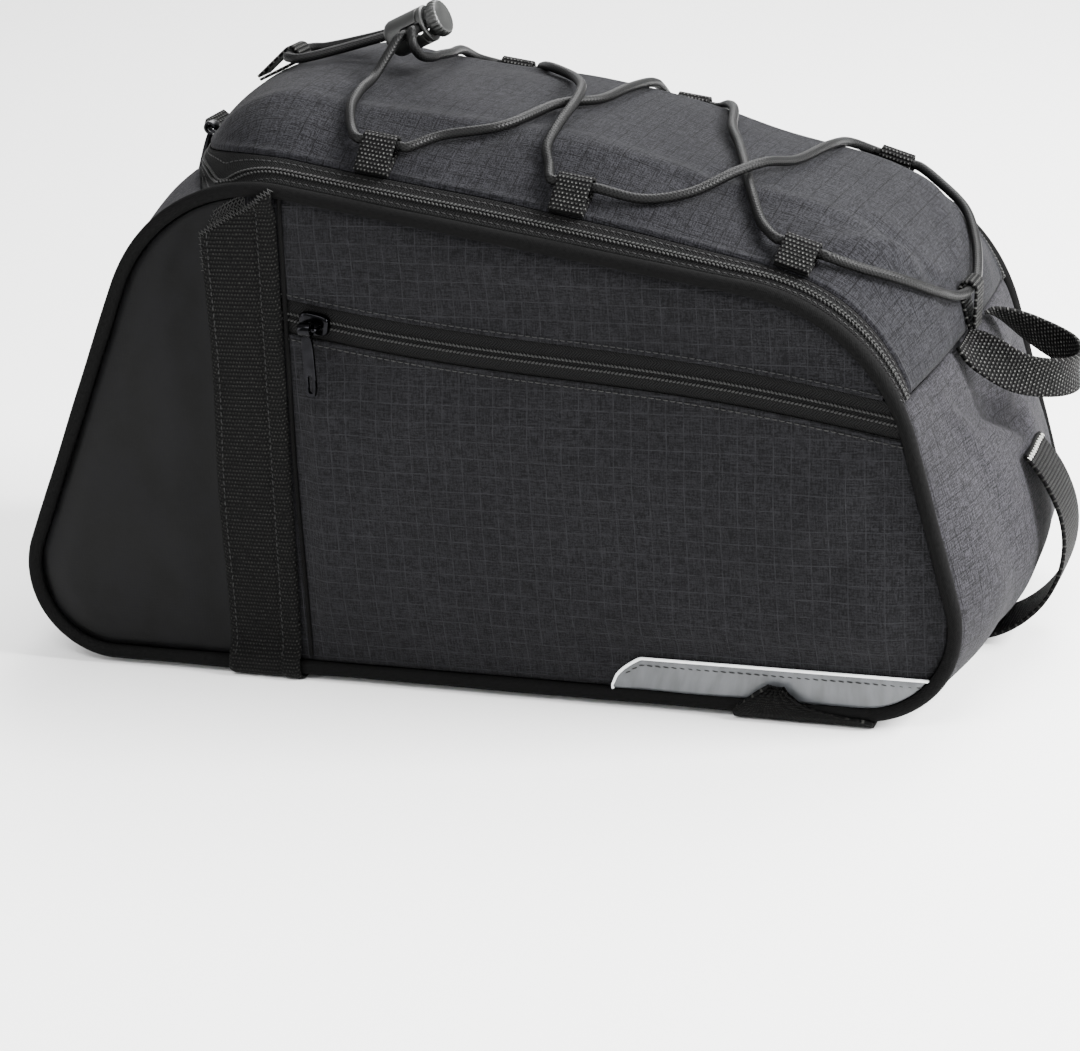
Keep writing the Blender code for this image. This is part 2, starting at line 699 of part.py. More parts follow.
def build_side(side):
    end = "near" if side < 0 else "far"
    wall_outline = side_outline(WALL - EDGE_RISE + GAP)
    mesh = flat_mesh("side_wall_" + end, [wall_outline], WALL)
    wall = add_object("side_wall_" + end, mesh, "padded_cloth")
    outer = BAG_WIDTH / 2 - CLOTH - POCKET_WALL_GAP
    wall.matrix_world = Matrix.Translation((0, side * (outer - WALL / 2), 0)) @ Matrix.Rotation(math.pi / 2, 4, "X")

    inside = side_outline(PIPING_RADIUS + GAP)
    front = clip_region(inside, lambda x, z: strap_middle(z) - GAP / 2 - x)
    rear = clip_region(inside, lambda x, z: x - strap_middle(z) - GAP / 2)
    panel("coated_panel_" + end, front, side, "coated_cloth", PANEL_PUFF, STRAP_WIDTH / 2 + 0.002, 0.018)
    reflector_top = inside[:, 1].min() + REFLECTOR_HEIGHT
    if side < 0:
        rear = refine(rear, 0.06)
        upper = clip_region(rear, lambda x, z: z - zip_line(x, 1))
        below_hem = clip_region(rear, lambda x, z: zip_line(x, 1) - GAP - z)
        middle = clip_region(below_hem, lambda x, z: z - zip_line(x, -1) - GAP)
        lower = clip_region(rear, lambda x, z: zip_line(x, -1) - z)
        panel("upper_panel_near", upper, side, "ripstop")
        panel("pocket_zipper_near", middle, side, "zipper_tape")
        panel("pocket_panel_near", lower, side, "ripstop", POCKET_PUFF)
    else:
        panel("rear_panel_far", rear, side, "ripstop", PANEL_PUFF)

    # The reflector lies on the flat border of the panel behind it, along the lower piping
    def in_reflector(x, z):
        rise = (z - inside[:, 1].min()) / REFLECTOR_HEIGHT
        return min(x - REFLECTOR_FRONT_X - REFLECTOR_HEIGHT * rise**2, reflector_top - z)

    strip = clip_region(refine(inside, 0.004), in_reflector)
    mesh = flat_mesh("reflector_" + end, [strip], REFLECTOR_THICK)
    reflector = add_object("reflector_" + end, mesh, "reflective_cloth")
    off = BAG_WIDTH / 2 + GAP + REFLECTOR_THICK / 2
    reflector.matrix_world = Matrix.Translation((0, side * off, 0)) @ Matrix.Rotation(math.pi / 2, 4, "X")


def build_piping(side):
    s = []
    for row, (start, end) in enumerate(zip(STARTS[:-1], STARTS[1:])):
        s.extend(spread(start, end, 9 if row % 2 else 4)[:-1])
    x, z, _, _ = outline_at(np.array(s))
    y = np.full(len(x), side * BAG_WIDTH / 2)
    name = "piping_near" if side < 0 else "piping_far"
    tube(name, np.stack([x, y, z], axis=1), PIPING_RADIUS, "piping_cloth", cyclic=True, resolution=1)


# Straps


def distance_to_outline(x, z):
    ox, oz, _, _ = outline_at(spread(0, OUTLINE_LENGTH, 800))
    return float(np.hypot(ox - x, oz - z).min())


def over_piping(x, z):
    """How far from the middle plane a strap's inner face lies on a side, with its rise over the piping."""
    share = np.clip((3.4 * PIPING_RADIUS - distance_to_outline(x, z)) / (2.4 * PIPING_RADIUS), 0, 1)
    return BAG_WIDTH / 2 + GAP + PIPING_RADIUS * share**2 * (3 - 2 * share)


def strap_rows(x_left, x_right, top_left, top_right, columns):
    """Grid of points of a strap's inner face, from its upper end on the near side to the middle of the base."""
    round_piping = PIPING_RADIUS + GAP
    rows = []
    for share in (0.0, 0.025, 0.05, 0.08, 0.12, 0.5, 0.9):
        row = []
        for v in spread(0, 1, columns):
            top = top_left + (top_right - top_left) * v
            z = top + (BASE_Z + 4.5 * PIPING_RADIUS - top) * share
            x = x_left(z) + (x_right(z) - x_left(z)) * v
            row.append((x, -over_piping(x, z), z))
        rows.append(row)
    for z in (BASE_Z + 3.2 * PIPING_RADIUS, BASE_Z + 1.6 * PIPING_RADIUS):
        rows.append([(x, -over_piping(x, z), z) for x in spread(x_left(z), x_right(z), columns)])
    for turn in np.radians((0, 30, 60, 90)):
        y = BAG_WIDTH / 2 + round_piping * math.cos(turn)
        z = BASE_Z - round_piping * math.sin(turn)
        rows.append([(x, -y, z) for x in spread(x_left(BASE_Z), x_right(BASE_Z), columns)])
    z = BASE_Z - round_piping
    rows.append([(x, 0.0, z) for x in spread(x_left(BASE_Z), x_right(BASE_Z), columns)])
    return np.array(rows)


def build_rack_strap():
    top_rear = outline_at(place_on_top(STRAP_TOP_X + STRAP_WIDTH / 2))[1] + 0.4 * PIPING_RADIUS
    grid = strap_rows(
        lambda z: strap_middle(z) - STRAP_WIDTH / 2,
        lambda z: strap_middle(z) + STRAP_WIDTH / 2,
        top_rear - STRAP_CUT,
        top_rear,
        5,
    )
    strap = sheet("rack_strap", grid, "webbing", flip=True)
    mirror_across(strap)
    solidify(strap, WEBBING, 1.0)


# Rows of the pinched end. Columns: height above the piping's centre as a share of the tip's, then the front and
# rear edges as shares of the half width
BASE_TAB_ROWS = ((1.0, -0.48, -0.28), (0.72, -0.60, -0.20), (0.35, -0.80, -0.05), (0.12, -0.95, 0.35))


def build_base_strap():
    """Across under the base. Each end turns up over the piping and is pinched to a narrow tip."""
    round_piping = PIPING_RADIUS + GAP
    rows = []
    tip = BASE_Z + BASE_STRAP_TIP
    for share, front, rear in BASE_TAB_ROWS:
        z = BASE_Z + (tip - BASE_Z) * share
        row = []
        for v in spread(0, 1, 4):
            x = BASE_STRAP_X + BASE_STRAP_WIDTH / 2 * (front + (rear - front) * v)
            row.append((x, -(BAG_WIDTH / 2 + round_piping + BASE_STRAP_LIFT), z))
        rows.append(row)
    for turn in np.radians((15, 45, 70, 90)):
        y = BAG_WIDTH / 2 + round_piping * math.cos(turn)
        z = BASE_Z - round_piping * math.sin(turn)
        half = BASE_STRAP_WIDTH / 2
        rows.append([(x, -y, z) for x in spread(BASE_STRAP_X - half, BASE_STRAP_X + half, 4)])
    z = BASE_Z - round_piping
    rows.append([(x, 0.0, z) for x in spread(BASE_STRAP_X - half, BASE_STRAP_X + half, 4)])
    strap = sheet("base_strap", np.array(rows), "webbing", flip=True)
    mirror_across(strap)
    solidify(strap, WEBBING, 1.0)


# Loops of webbing


def loop_strip(name, root, eye, out, width_axis, width):
    """A folded strip that is sewn at root and holds an eye. Out points off the cloth and width_axis along the eye."""
    layer = (LOOP_WEBBING + GAP) / 2
    around = EYE_RADIUS + LOOP_WEBBING / 2
    reach = eye - root
    along = reach / np.linalg.norm(reach)
    up = out - along * np.dot(out, along)
    up = up / np.linalg.norm(up)
    path = [root - up * layer]
    for turn in np.radians(spread(-100, 100, 9)):
        path.append(eye + around * (along * math.cos(turn) + up * math.sin(turn)))
    path.append(root + up * layer)
    path = np.array(path)
    grid = path[:, None] + spread(-width / 2, width / 2, 2)[None, :, None] * width_axis
    strip = sheet(name, grid, "webbing")
    solidify(strip, LOOP_WEBBING, 0.0)
    return strip


def eye_on_lid(s, y):
    """Middle of an eye that lies on the lid, and the direction out of the lid there."""
    _, _, out = band_axes(lid_height, s, y)
    return band_point(lid_height, s, y) + out * EYE_HEIGHT, out


def lid_eye(side, number):
    """Middle of a lid loop's eye, the place of its seam, and the eye's axis, which runs along the outline."""
    s = place_on_top(LID_LOOP_X[number - 1])
    eye, _ = eye_on_lid(s, side * (HALF_BAND - ZIP_BAND - LID_LOOP_REACH))
    _, _, nx, nz = outline_at(s)
    return eye, s, np.array([nz, 0, -nx])


def build_lid_loops():
    for side, end in ((-1, "near"), (1, "far")):
        for number in range(1, len(LID_LOOP_X) + 1):
            eye, s, axis = lid_eye(side, number)
            root_y = side * (HALF_BAND - ZIP_BAND)
            _, _, out = band_axes(lid_height, s, root_y)
            root = band_point(lid_height, s, root_y) + out * (1.5 * LOOP_WEBBING + 1.5 * GAP)
            up = np.array([-axis[2], 0, axis[0]])
            loop_strip(f"lid_loop_{end}_{number}", root, eye, up, axis, LID_LOOP_WIDTH)


def build_end_loops():
    across = np.array([0.0, 1.0, 0.0])
    for name, s_root, s_eye in (
        ("front_cord_loop", place_on_top(FRONT_LOOP_X) - FRONT_LOOP_REACH, place_on_top(FRONT_LOOP_X)),
        ("rear_cord_loop", LID_END - SEAM_GAP, LID_END - SEAM_GAP - REAR_LOOP_REACH),
    ):
        _, _, out = band_axes(lid_height, s_root, 0.0)
        root = band_point(lid_height, s_root, 0.0) + out * (1.5 * LOOP_WEBBING + 1.5 * GAP)
        eye, eye_out = eye_on_lid(s_eye, 0.0)
        loop_strip(name, root, eye, out + eye_out, across, END_LOOP_WIDTH)


def ribbon(name, rows, origin, axes, width, finish, thickness, steps=15):
    """A band of webbing. Rows hold its middle and its width's direction, in the given axes."""
    rows = np.array(rows)
    at = spread(0, 1, len(rows))
    fine = spread(0, 1, steps)
    smooth = np.stack([smooth_rows(fine, at, column) for column in rows.T], axis=1)
    middle = origin + smooth[:, :3] @ axes
    across = smooth[:, 3:] @ axes
    across = across / np.linalg.norm(across, axis=1)[:, None]
    grid = middle[:, None] + spread(-width / 2, width / 2, 3)[None, :, None] * across[:, None]
    band = sheet(name, grid, finish)
    solidify(band, thickness, 0.0)
    return band


# Columns: out, across and up from the middle of the seam, as shares of the reach, then the direction of the width
GRAB_ROWS = (
    (0.07, -0.60, 0.03, 0.10, 1.00, 0.15),
    (0.30, -0.62, -0.10, 0.35, 0.55, 0.80),
    (0.58, -0.50, -0.30, 0.35, 0.15, 0.95),
    (0.88, -0.25, -0.40, 0.25, 0.00, 1.00),
    (1.00, 0.08, -0.42, 0.10, 0.00, 1.00),
    (0.88, 0.40, -0.36, -0.05, 0.05, 1.00),
    (0.52, 0.55, -0.22, -0.10, -0.25, 0.95),
    (0.20, 0.54, -0.07, -0.10, -0.70, 0.60),
    (0.07, 0.48, 0.00, 0.00, -1.00, 0.15),
)
# Columns: along the tab, across and up, as shares of its length, then the direction of its width
TAB_ROWS = ((0.08, 0.0, 0.0, 0.0, 1.0, 0.0), (0.5, 0.0, 0.02, 0.0, 1.0, 0.1), (1.0, 0.0, -0.16, 0.0, 1.0, 0.25))
# Columns: share of the way down, share of the standoff
LIGHT_STRAP_ROWS = ((0.0, 0.0), (0.12, 0.45), (0.35, 0.95), (0.55, 1.0), (0.8, 0.6), (1.0, 0.0))


def build_rear_webbing():
    axes = np.eye(3)
    seat = band_point(rear_height, LID_END, GRAB_MIDDLE_Y)
    rows = np.array(GRAB_ROWS) * ([GRAB_REACH] * 3 + [1] * 3)
    ribbon("grab_loop", rows, seat, axes, GRAB_WIDTH, "webbing", WEBBING)
    s = spread(LID_END, OUTLINE_LENGTH - LIGHT_STRAP_FOOT, 300)
    face = band_point(rear_height, s, LIGHT_STRAP_Y)
    top = s[np.argmin(np.abs(face[:, 2] - LIGHT_STRAP_TOP_Z))]
    share = spread(0, 1, 11)
    down = top + (s[-1] - top) * share
    off = LIGHT_STRAP_STANDOFF * smooth_rows(share, *zip(*LIGHT_STRAP_ROWS)) + 2 * GAP
    y = LIGHT_STRAP_Y + spread(-LIGHT_STRAP_WIDTH / 2, LIGHT_STRAP_WIDTH / 2, 4)
    grid = band_point(rear_height, down[:, None], y[None, :], off[:, None])
    strap = sheet("light_strap", grid, "webbing", flip=True)
    solidify(strap, WEBBING, 1.0)


def build_front_tab():
    _, _, out = band_axes(front_height, LID_START, TAB_Y)
    axes = np.array([out, [0, 1, 0], np.cross([0, 1, 0], out)])
    seat = band_point(front_height, LID_START, TAB_Y)
    rows = np.array(TAB_ROWS) * ([TAB_LENGTH] * 3 + [1] * 3)
    ribbon("front_tab", rows, seat, axes, TAB_WIDTH, "webbing", 2 * LOOP_WEBBING, 5)


# Moving hardware


def lock_foot():
    """Middle of the barrel's foot: it stands on the cord, over the lid."""
    below = band_point(lid_height, place_on_top(LOCK_X), LOCK_Y)
    return np.array([LOCK_X, LOCK_Y, below[2] + LOCK_LIFT])


def build_cord_lock():
    """A barrel with a bore, a sprung button in it, and a slot through both for the two strands."""
    turn = Matrix.Translation(Vector(lock_foot())) @ Matrix.Rotation(math.radians(90 - LOCK_TILT), 4, "Y")
    hole = (CORD_HOLE_WIDTH, 4 * LOCK_RADIUS, CORD_HOLE_LENGTH)
    barrel_profile = (
        (0.0, -0.0),
        (LOCK_RADIUS - 0.0022, 0.0),
        (LOCK_RADIUS - 0.0006, 0.0008),
        (LOCK_RADIUS, 0.0026),
        (LOCK_RADIUS, LOCK_LENGTH - 0.0008),
        (LOCK_RADIUS - 0.0008, LOCK_LENGTH),
        (BUTTON_RADIUS + BUTTON_CLEARANCE, LOCK_LENGTH),
        (BUTTON_RADIUS + BUTTON_CLEARANCE, LOCK_FLOOR),
        (0.0, LOCK_FLOOR),
    )
    barrel = turned("cord_lock_barrel", barrel_profile, "black_plastic")
    barrel.matrix_world = turn
    slot = cutter("barrel_slot", box_mesh("barrel_slot", hole, (0, 0, CORD_HOLE_AT), 0.0012, 1))
    slot.matrix_world = turn
    boolean(barrel, slot, "DIFFERENCE")
    foot = LOCK_FLOOR + BUTTON_TRAVEL + 2 * GAP
    cap_under = LOCK_LENGTH + BUTTON_TRAVEL + GAP
    cap_top = cap_under + BUTTON_CAP
    button_profile = (
        (0.0, foot),
        (BUTTON_RADIUS, foot),
        (BUTTON_RADIUS, cap_under),
        (LOCK_RADIUS, cap_under),
        (LOCK_RADIUS, cap_top - 0.0014),
        (LOCK_RADIUS - 0.0012, cap_top),
        (0.0, cap_top),
    )
    button = turned("cord_lock_button", button_profile, "black_plastic")
    button.matrix_world = turn
    # The button's slot is longer by its travel, so that it never meets the strands
    long_hole = (CORD_HOLE_WIDTH, 4 * LOCK_RADIUS, CORD_HOLE_LENGTH + BUTTON_TRAVEL)
    button_slot = box_mesh("button_slot", long_hole, (0, 0, CORD_HOLE_AT + BUTTON_TRAVEL / 2))
    slot = cutter("button_slot", button_slot)
    slot.matrix_world = turn
    boolean(button, slot, "DIFFERENCE")


def turned(name, profile, finish, sides=20):
    """A turned solid: a profile of (radius, height) pairs from the axis out and back to it, with a Screw modifier."""
    bm = bmesh.new()
    verts = [bm.verts.new((r, 0, z)) for r, z in profile]
    for a, b in zip(verts[:-1], verts[1:]):
        bm.edges.new((a, b))
    mesh = bpy.data.meshes.new(name)
    bm.to_mesh(mesh)
    bm.free()
    obj = add_object(name, mesh, finish)
    screw = obj.modifiers.new("Turn", "SCREW")
    screw.axis = "Z"
    screw.steps = sides
    screw.render_steps = sides
    screw.use_merge_vertices = True
    screw.merge_threshold = 0.00001
    screw.use_normal_flip = True
    return obj


def ring_points(radius, count, start=0.0, end=360.0, close=False):
    turns = np.radians(np.linspace(start, end, count, endpoint=close))
    return [(radius * math.cos(t), radius * math.sin(t)) for t in turns]


def build_slider(name, place):
    """A slider body on the zipper with a bail over it. Local X runs along the zipper and local Z out of it."""
    body = box_mesh(name, (SLIDER_LENGTH, SLIDER_WIDTH, SLIDER_THICK), (0, 0, SLIDER_THICK / 2), 0.0009, 2)
    slider = add_object(name, body, "dark_metal")
    slider.matrix_world = place
    half = SLIDER_LENGTH / 2 - 0.0016
    foot = SLIDER_THICK - 0.0008
    rise = SLIDER_THICK + BAIL_WINDOW
    shoulder, top = rise - 0.001, rise + BAIL_THICK
    flat = half - 0.0015
    outside = [(-half, foot), (half, foot), (half, shoulder), (flat, top), (-flat, top), (-half, shoulder)]
    hole_half = half - BAIL_THICK
    sill, shoulder = SLIDER_THICK + 0.0002, rise - 0.0008
    flat = hole_half - 0.0006
    window = [(-hole_half, sill), (hole_half, sill), (hole_half, shoulder), (flat, rise), (-flat, rise), (-hole_half, shoulder)]
    bail = cutter(name + "_bail", flat_mesh(name + "_bail", [outside, window], BAIL_THICK))
    bail.matrix_world = place @ Matrix.Rotation(math.pi / 2, 4, "X")
    boolean(slider, bail, "UNION")
    return slider


def build_puller(name, place):
    """A tab with an eye round the bail. Its origin is on the bail's middle and it hangs along local -Y."""
    outer = PULLER_EYE + PULLER_RIM
    half = PULLER_HALF
    start = math.degrees(math.asin(half / outer))
    outline = ring_points(outer, 13, -90 + start, 270 - start, close=True)
    outline.append((-half, -PULLER_LENGTH))
    outline.append((half, -PULLER_LENGTH))
    mesh = flat_mesh(name, [outline, ring_points(PULLER_EYE, 12)], PULLER_WIDTH)
    puller = add_object(name, mesh, "dark_metal")
    puller.matrix_world = place


def slider_place(position, along, out):
    side = np.cross(out, along)
    matrix = Matrix((along, side, out)).transposed().to_4x4()
    return Matrix.Translation(Vector(position)) @ matrix


def clear_lean(bail):
    """Angle from the vertical at which a puller that hangs from a bail rests on the bulging front wall."""
    s = spread(BASE_END, LID_START, 200)
    strip = LID_START + spread(0, ZIP_BAND, 20)
    face = np.concatenate([band_point(front_height, s, 0.0), band_point(lid_height, strip, 0.0)])
    shaft = spread(2 * PULLER_EYE, PULLER_LENGTH, 30)
    for lean in np.radians(spread(0, 60, 121)):
        x = bail[0] - shaft * math.sin(lean)
        z = bail[2] - shaft * math.cos(lean)
        off = np.hypot(x[:, None] - face[:, 0], z[:, None] - face[:, 2]).min()
        ahead = (x < np.interp(z, face[:, 2], face[:, 0])).all()
        if off > PULLER_HALF + 2 * GAP and ahead:
            return lean
    return math.radians(60)


def build_zipper_hardware():
    # Pocket: the zipper runs along the near side, the slider faces -Y
    x = POCKET_SLIDER_X
    step = 0.001
    slope = (zip_line(x + step) - zip_line(x - step)) / (2 * step)
    along = np.array([1.0, 0.0, slope]) / math.hypot(1, slope)
    out = np.array([0.0, -1.0, 0.0])
    seat = np.array([x, -(BAG_WIDTH / 2 + GAP), zip_line(x)])
    build_slider("pocket_slider", slider_place(seat, along, out))
    bail = seat + out * (SLIDER_THICK + BAIL_WINDOW + BAIL_THICK / 2)
    hang = Matrix.Translation(Vector(bail)) @ Matrix(((0, 0, 1), (1, 0, 0), (0, 1, 0))).to_4x4()
    build_puller("pocket_puller", hang)
    # Lid: the zipper runs across the front, the slider faces forward
    s = front_seam(0.0) + ZIP_BAND / 2 + MAIN_SLIDER_SHIFT
    _, _, out = band_axes(lid_height, s, 0.0)
    seat = band_point(lid_height, s, 0.0) + out * MAIN_SLIDER_LIFT
    build_slider("main_slider", slider_place(seat, np.array([0.0, 1.0, 0.0]), out))
    bail = seat + out * (SLIDER_THICK + BAIL_WINDOW + BAIL_THICK / 2)
    hang = Matrix.Translation(Vector(bail)) @ Matrix.Rotation(clear_lean(bail), 4, "Y")
    build_puller("main_puller", hang @ Matrix(((1, 0, 0), (0, 0, -1), (0, 1, 0))).to_4x4())


# Elastic cord, one closed loop that runs through every eye and twice through its lock. Columns of each table:
# share along the lid, share across its half width, and lift over its resting height as a share of the cord's width
CORD_NEAR_1_TO_FAR_2 = (
    (0.357, -0.706, 0.0), (0.419, -0.588, 0.0), (0.459, -0.248, 0.0), (0.492, -0.059, 0.0),
    (0.503, 0.22, 0.1), (0.508, 0.58, 0.25),
)
CORD_FAR_2_TO_NEAR_3 = (
    (0.600, 0.66, 0.2), (0.630, 0.38, 0.25), (0.652, 0.10, 0.1), (0.674, -0.06, 0.0), (0.707, -0.34, 0.0),
    (0.734, -0.56, 0.0), (0.762, -0.72, 0.0),
)
CORD_NEAR_3_TO_REAR = ((0.868, -0.742, 0.0), (0.904, -0.61, 0.0), (0.936, -0.40, 0.0), (0.955, -0.21, 0.2))
CORD_REAR_TO_FAR_3 = ((0.955, 0.21, 0.2), (0.936, 0.40, 0.0), (0.904, 0.61, 0.0), (0.868, 0.742, 0.0))
CORD_FAR_3_TO_NEAR_2 = (
    (0.766, 0.66, 0.2), (0.762, 0.30, 0.25), (0.747, -0.08, 0.25), (0.728, -0.34, 1.1), (0.707, -0.50, 0.9),
    (0.669, -0.686, 0.0), (0.622, -0.790, 0.0),
)
CORD_NEAR_2_TO_FAR_1 = (
    (0.500, -0.742, 0.0), (0.487, -0.66, 0.0), (0.483, -0.50, 0.1), (0.482, -0.29, 0.8), (0.473, -0.12, 1.1),
    (0.453, 0.06, 0.6), (0.425, 0.253, 0.0), (0.383, 0.41, 0.0), (0.345, 0.66, 0.0),
)
# Columns: x, y and z from the middle of the lock's cord hole, in lock radii
CORD_LOCK_TO_NEAR_1 = ((-0.45, -1.75, -0.25), (-0.75, -2.35, -0.85), (-1.15, -3.6, -1.85))
CORD_OVER_NEAR_1 = ((0.226, -0.50, 0.0), (0.232, -0.64, 0.0), (0.248, -0.75, 0.0))
CORD_FAR_1_TO_LOCK = ((0.252, 0.72, 0.0), (0.252, 0.48, 0.1))
CORD_UNDER_LOCK = ((0.75, 2.3, -1.75), (0.85, 0.6, -1.52), (0.8, -0.55, -1.42), (0.62, -1.5, -1.1), (0.42, -1.85, -0.45))
CORD_TAIL_NEAR = ((-1.65, 1.95, -0.5), (-0.9, 1.95, -0.3), (-0.42, 1.62, -0.15))
CORD_TAIL_FAR = ((0.12, 2.1, 0.05), (-0.35, 2.5, -0.05), (-0.9, 2.62, -0.2), (-1.65, 2.62, -0.45))


def on_lid(rows):
    """Points of the cord's centre line from a table."""
    share, across, lift = np.array(rows).T
    rest = CORD_RADIUS + 3 * GAP
    s = LID_START + (LID_END - LID_START) * share
    return band_point(lid_height, s, HALF_BAND * across, rest + 2 * CORD_RADIUS * lift)


def through_eye(eye, axis, width):
    """Four points on an eye's axis, in the direction of that axis, so that the cord is straight in the eye."""
    inner = width / 2 + 2 * GAP
    outer = inner + 1.3 * CORD_RADIUS
    return eye + np.array([-outer, -inner, inner, outer])[:, None] * axis


def smooth_ring(points, steps):
    """A closed smooth curve through the points, with spans timed by the square root of their length."""
    count = len(points)
    made = []
    for i in range(count):
        a, b, c, d = (points[(i + k) % count] for k in (-1, 0, 1, 2))
        t1, t2, t3 = np.cumsum([math.sqrt(np.linalg.norm(q - p)) for p, q in ((a, b), (b, c), (c, d))])
        t = np.linspace(t1, t2, steps, endpoint=False)[:, None]
        ab = a + (b - a) * t / t1
        bc = b + (c - b) * (t - t1) / (t2 - t1)
        cd = c + (d - c) * (t - t2) / (t3 - t2)
        abc = ab + (bc - ab) * t / t2
        bcd = bc + (cd - bc) * (t - t1) / (t3 - t1)
        made.append(abc + (bcd - abc) * (t - t1) / (t2 - t1))
    return np.concatenate(made)


def thinned(points, count, bend_weight=0.02):
    """Count points of a closed curve, closer together where it bends."""
    ahead = np.roll(points, -1, axis=0) - points
    length = np.linalg.norm(ahead, axis=1)
    unit = ahead / length[:, None]
    turn = np.arccos(np.clip((unit * np.roll(unit, 1, axis=0)).sum(axis=1), -1, 1))
    weight = length + bend_weight * (turn + np.roll(turn, -1)) / 2
    total = np.concatenate([[0], np.cumsum(weight)])
    at = np.linspace(0, total[-1], count, endpoint=False)
    row = np.searchsorted(total, at, side="right") - 1
    share = (at - total[row]) / weight[row]
    return points[row] + ahead[row] * share[:, None]


def cord_route():
    tilt = math.radians(LOCK_TILT)
    barrel = np.array([math.cos(tilt), 0, math.sin(tilt)])
    hole = lock_foot() + barrel * CORD_HOLE_AT
    strand = barrel * (CORD_RADIUS + GAP / 2)
    across = np.array([0.0, 1.0, 0.0])

    def by_lock(rows):
        return hole + np.array(rows) * LOCK_RADIUS

    def lid_loop(side, number, way=1):
        eye, _, axis = lid_eye(side, number)
        return through_eye(eye, way * axis, LID_LOOP_WIDTH)

    front, _ = eye_on_lid(place_on_top(FRONT_LOOP_X), 0.0)
    rear, _ = eye_on_lid(LID_END - SEAM_GAP - REAR_LOOP_REACH, 0.0)
    bend = 1.7 * CORD_RADIUS
    turn_back = np.array([bend, 0, 0])
    front_points = through_eye(front, -across, END_LOOP_WIDTH)
    route = [
        front_points[0] + np.array([[2.2 * bend, 0.9 * bend, 0], [bend, 0.75 * bend, 0]]),
        front_points,
        front_points[3] + np.array([[bend, -0.75 * bend, 0], [2.2 * bend, -0.9 * bend, 0]]),
        by_lock(CORD_TAIL_NEAR),
        through_eye(hole - strand, -across, 2 * LOCK_RADIUS),
        by_lock(CORD_LOCK_TO_NEAR_1),
        on_lid(CORD_OVER_NEAR_1),
        lid_loop(-1, 1),
        on_lid(CORD_NEAR_1_TO_FAR_2),
        lid_loop(1, 2),
        on_lid(CORD_FAR_2_TO_NEAR_3),
        lid_loop(-1, 3),
        on_lid(CORD_NEAR_3_TO_REAR),
        through_eye(rear, across, END_LOOP_WIDTH),
        on_lid(CORD_REAR_TO_FAR_3),
        lid_loop(1, 3, -1),
        on_lid(CORD_FAR_3_TO_NEAR_2),
        lid_loop(-1, 2, -1),
        on_lid(CORD_NEAR_2_TO_FAR_1),
        lid_loop(1, 1, -1),
        on_lid(CORD_FAR_1_TO_LOCK),
        by_lock(CORD_UNDER_LOCK),
        through_eye(hole + strand, across, 2 * LOCK_RADIUS),
        by_lock(CORD_TAIL_FAR),
    ]
    return np.concatenate(route)


def build_bungee():
    points = thinned(smooth_ring(cord_route(), 12), 80)
    tube("bungee_cord", points, CORD_RADIUS, "elastic_cord", cyclic=True)


clear_scene()
BAG = collection("bicycle_trunk_bag")
CUTTERS = collection("cutters", shown=False)
MATERIALS = make_materials()

build_base()
build_end_wall("front_gusset", front_height, BASE_END + SEAM_GAP / 2, lambda y: front_seam(y) - SEAM_GAP / 2, 17, 13)
build_end_wall("rear_gusset", rear_height, LID_END + SEAM_GAP / 2, OUTLINE_LENGTH - SEAM_GAP / 2, 15, 13)
build_lid()
build_zipper_band()
for side in (-1, 1):
    build_side(side)
    build_piping(side)
build_rack_strap()
build_base_strap()
build_lid_loops()
build_end_loops()
build_rear_webbing()
build_front_tab()
build_cord_lock()
build_zipper_hardware()
build_bungee()
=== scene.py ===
# %% [markdown]
# # A bicycle trunk bag
# The object is a soft bag that stands closed on its base, with a zipped lid, corded edges, webbing straps
# and an elastic cord laced over the lid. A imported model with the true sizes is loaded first, and each cell
# then makes one piece of cloth, tape, cord or hardware over it as a surface worked out with numpy.

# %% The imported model
import math

import bmesh
import bpy
import numpy as np
from mathutils import Matrix, Vector


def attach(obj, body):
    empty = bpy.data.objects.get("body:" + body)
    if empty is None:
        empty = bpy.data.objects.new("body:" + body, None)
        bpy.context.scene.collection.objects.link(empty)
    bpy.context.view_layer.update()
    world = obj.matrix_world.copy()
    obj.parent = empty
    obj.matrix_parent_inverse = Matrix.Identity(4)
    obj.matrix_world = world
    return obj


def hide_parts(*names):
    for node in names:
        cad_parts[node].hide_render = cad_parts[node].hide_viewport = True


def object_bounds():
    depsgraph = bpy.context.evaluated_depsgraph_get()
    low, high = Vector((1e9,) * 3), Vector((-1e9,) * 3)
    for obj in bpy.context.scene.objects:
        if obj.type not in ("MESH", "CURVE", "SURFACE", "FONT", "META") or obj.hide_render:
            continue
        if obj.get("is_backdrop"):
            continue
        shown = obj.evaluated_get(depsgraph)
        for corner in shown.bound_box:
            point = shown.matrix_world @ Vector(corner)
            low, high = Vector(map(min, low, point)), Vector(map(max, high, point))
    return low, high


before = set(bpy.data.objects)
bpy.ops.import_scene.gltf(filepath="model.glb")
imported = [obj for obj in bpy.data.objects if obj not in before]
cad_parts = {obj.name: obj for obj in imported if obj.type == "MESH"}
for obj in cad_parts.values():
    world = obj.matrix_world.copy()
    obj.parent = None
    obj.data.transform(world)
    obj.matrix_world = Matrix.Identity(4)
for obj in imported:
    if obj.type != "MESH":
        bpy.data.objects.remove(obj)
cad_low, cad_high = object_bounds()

print("box of the packed model", [round(v, 4) for v in (*cad_low, *cad_high)])

# %% [markdown]
# ## Camera
# A long lens stands well back, above the bag and towards its rear corner. Its place and its three axes are
# set as one matrix, which is surer than angles when a view has to match a measured one.

# %% Camera


def in_scene(name, data):
    """A new object of the scene for a camera, a lamp or a mesh."""
    made = bpy.data.objects.new(name, data)
    bpy.context.scene.collection.objects.link(made)
    return made


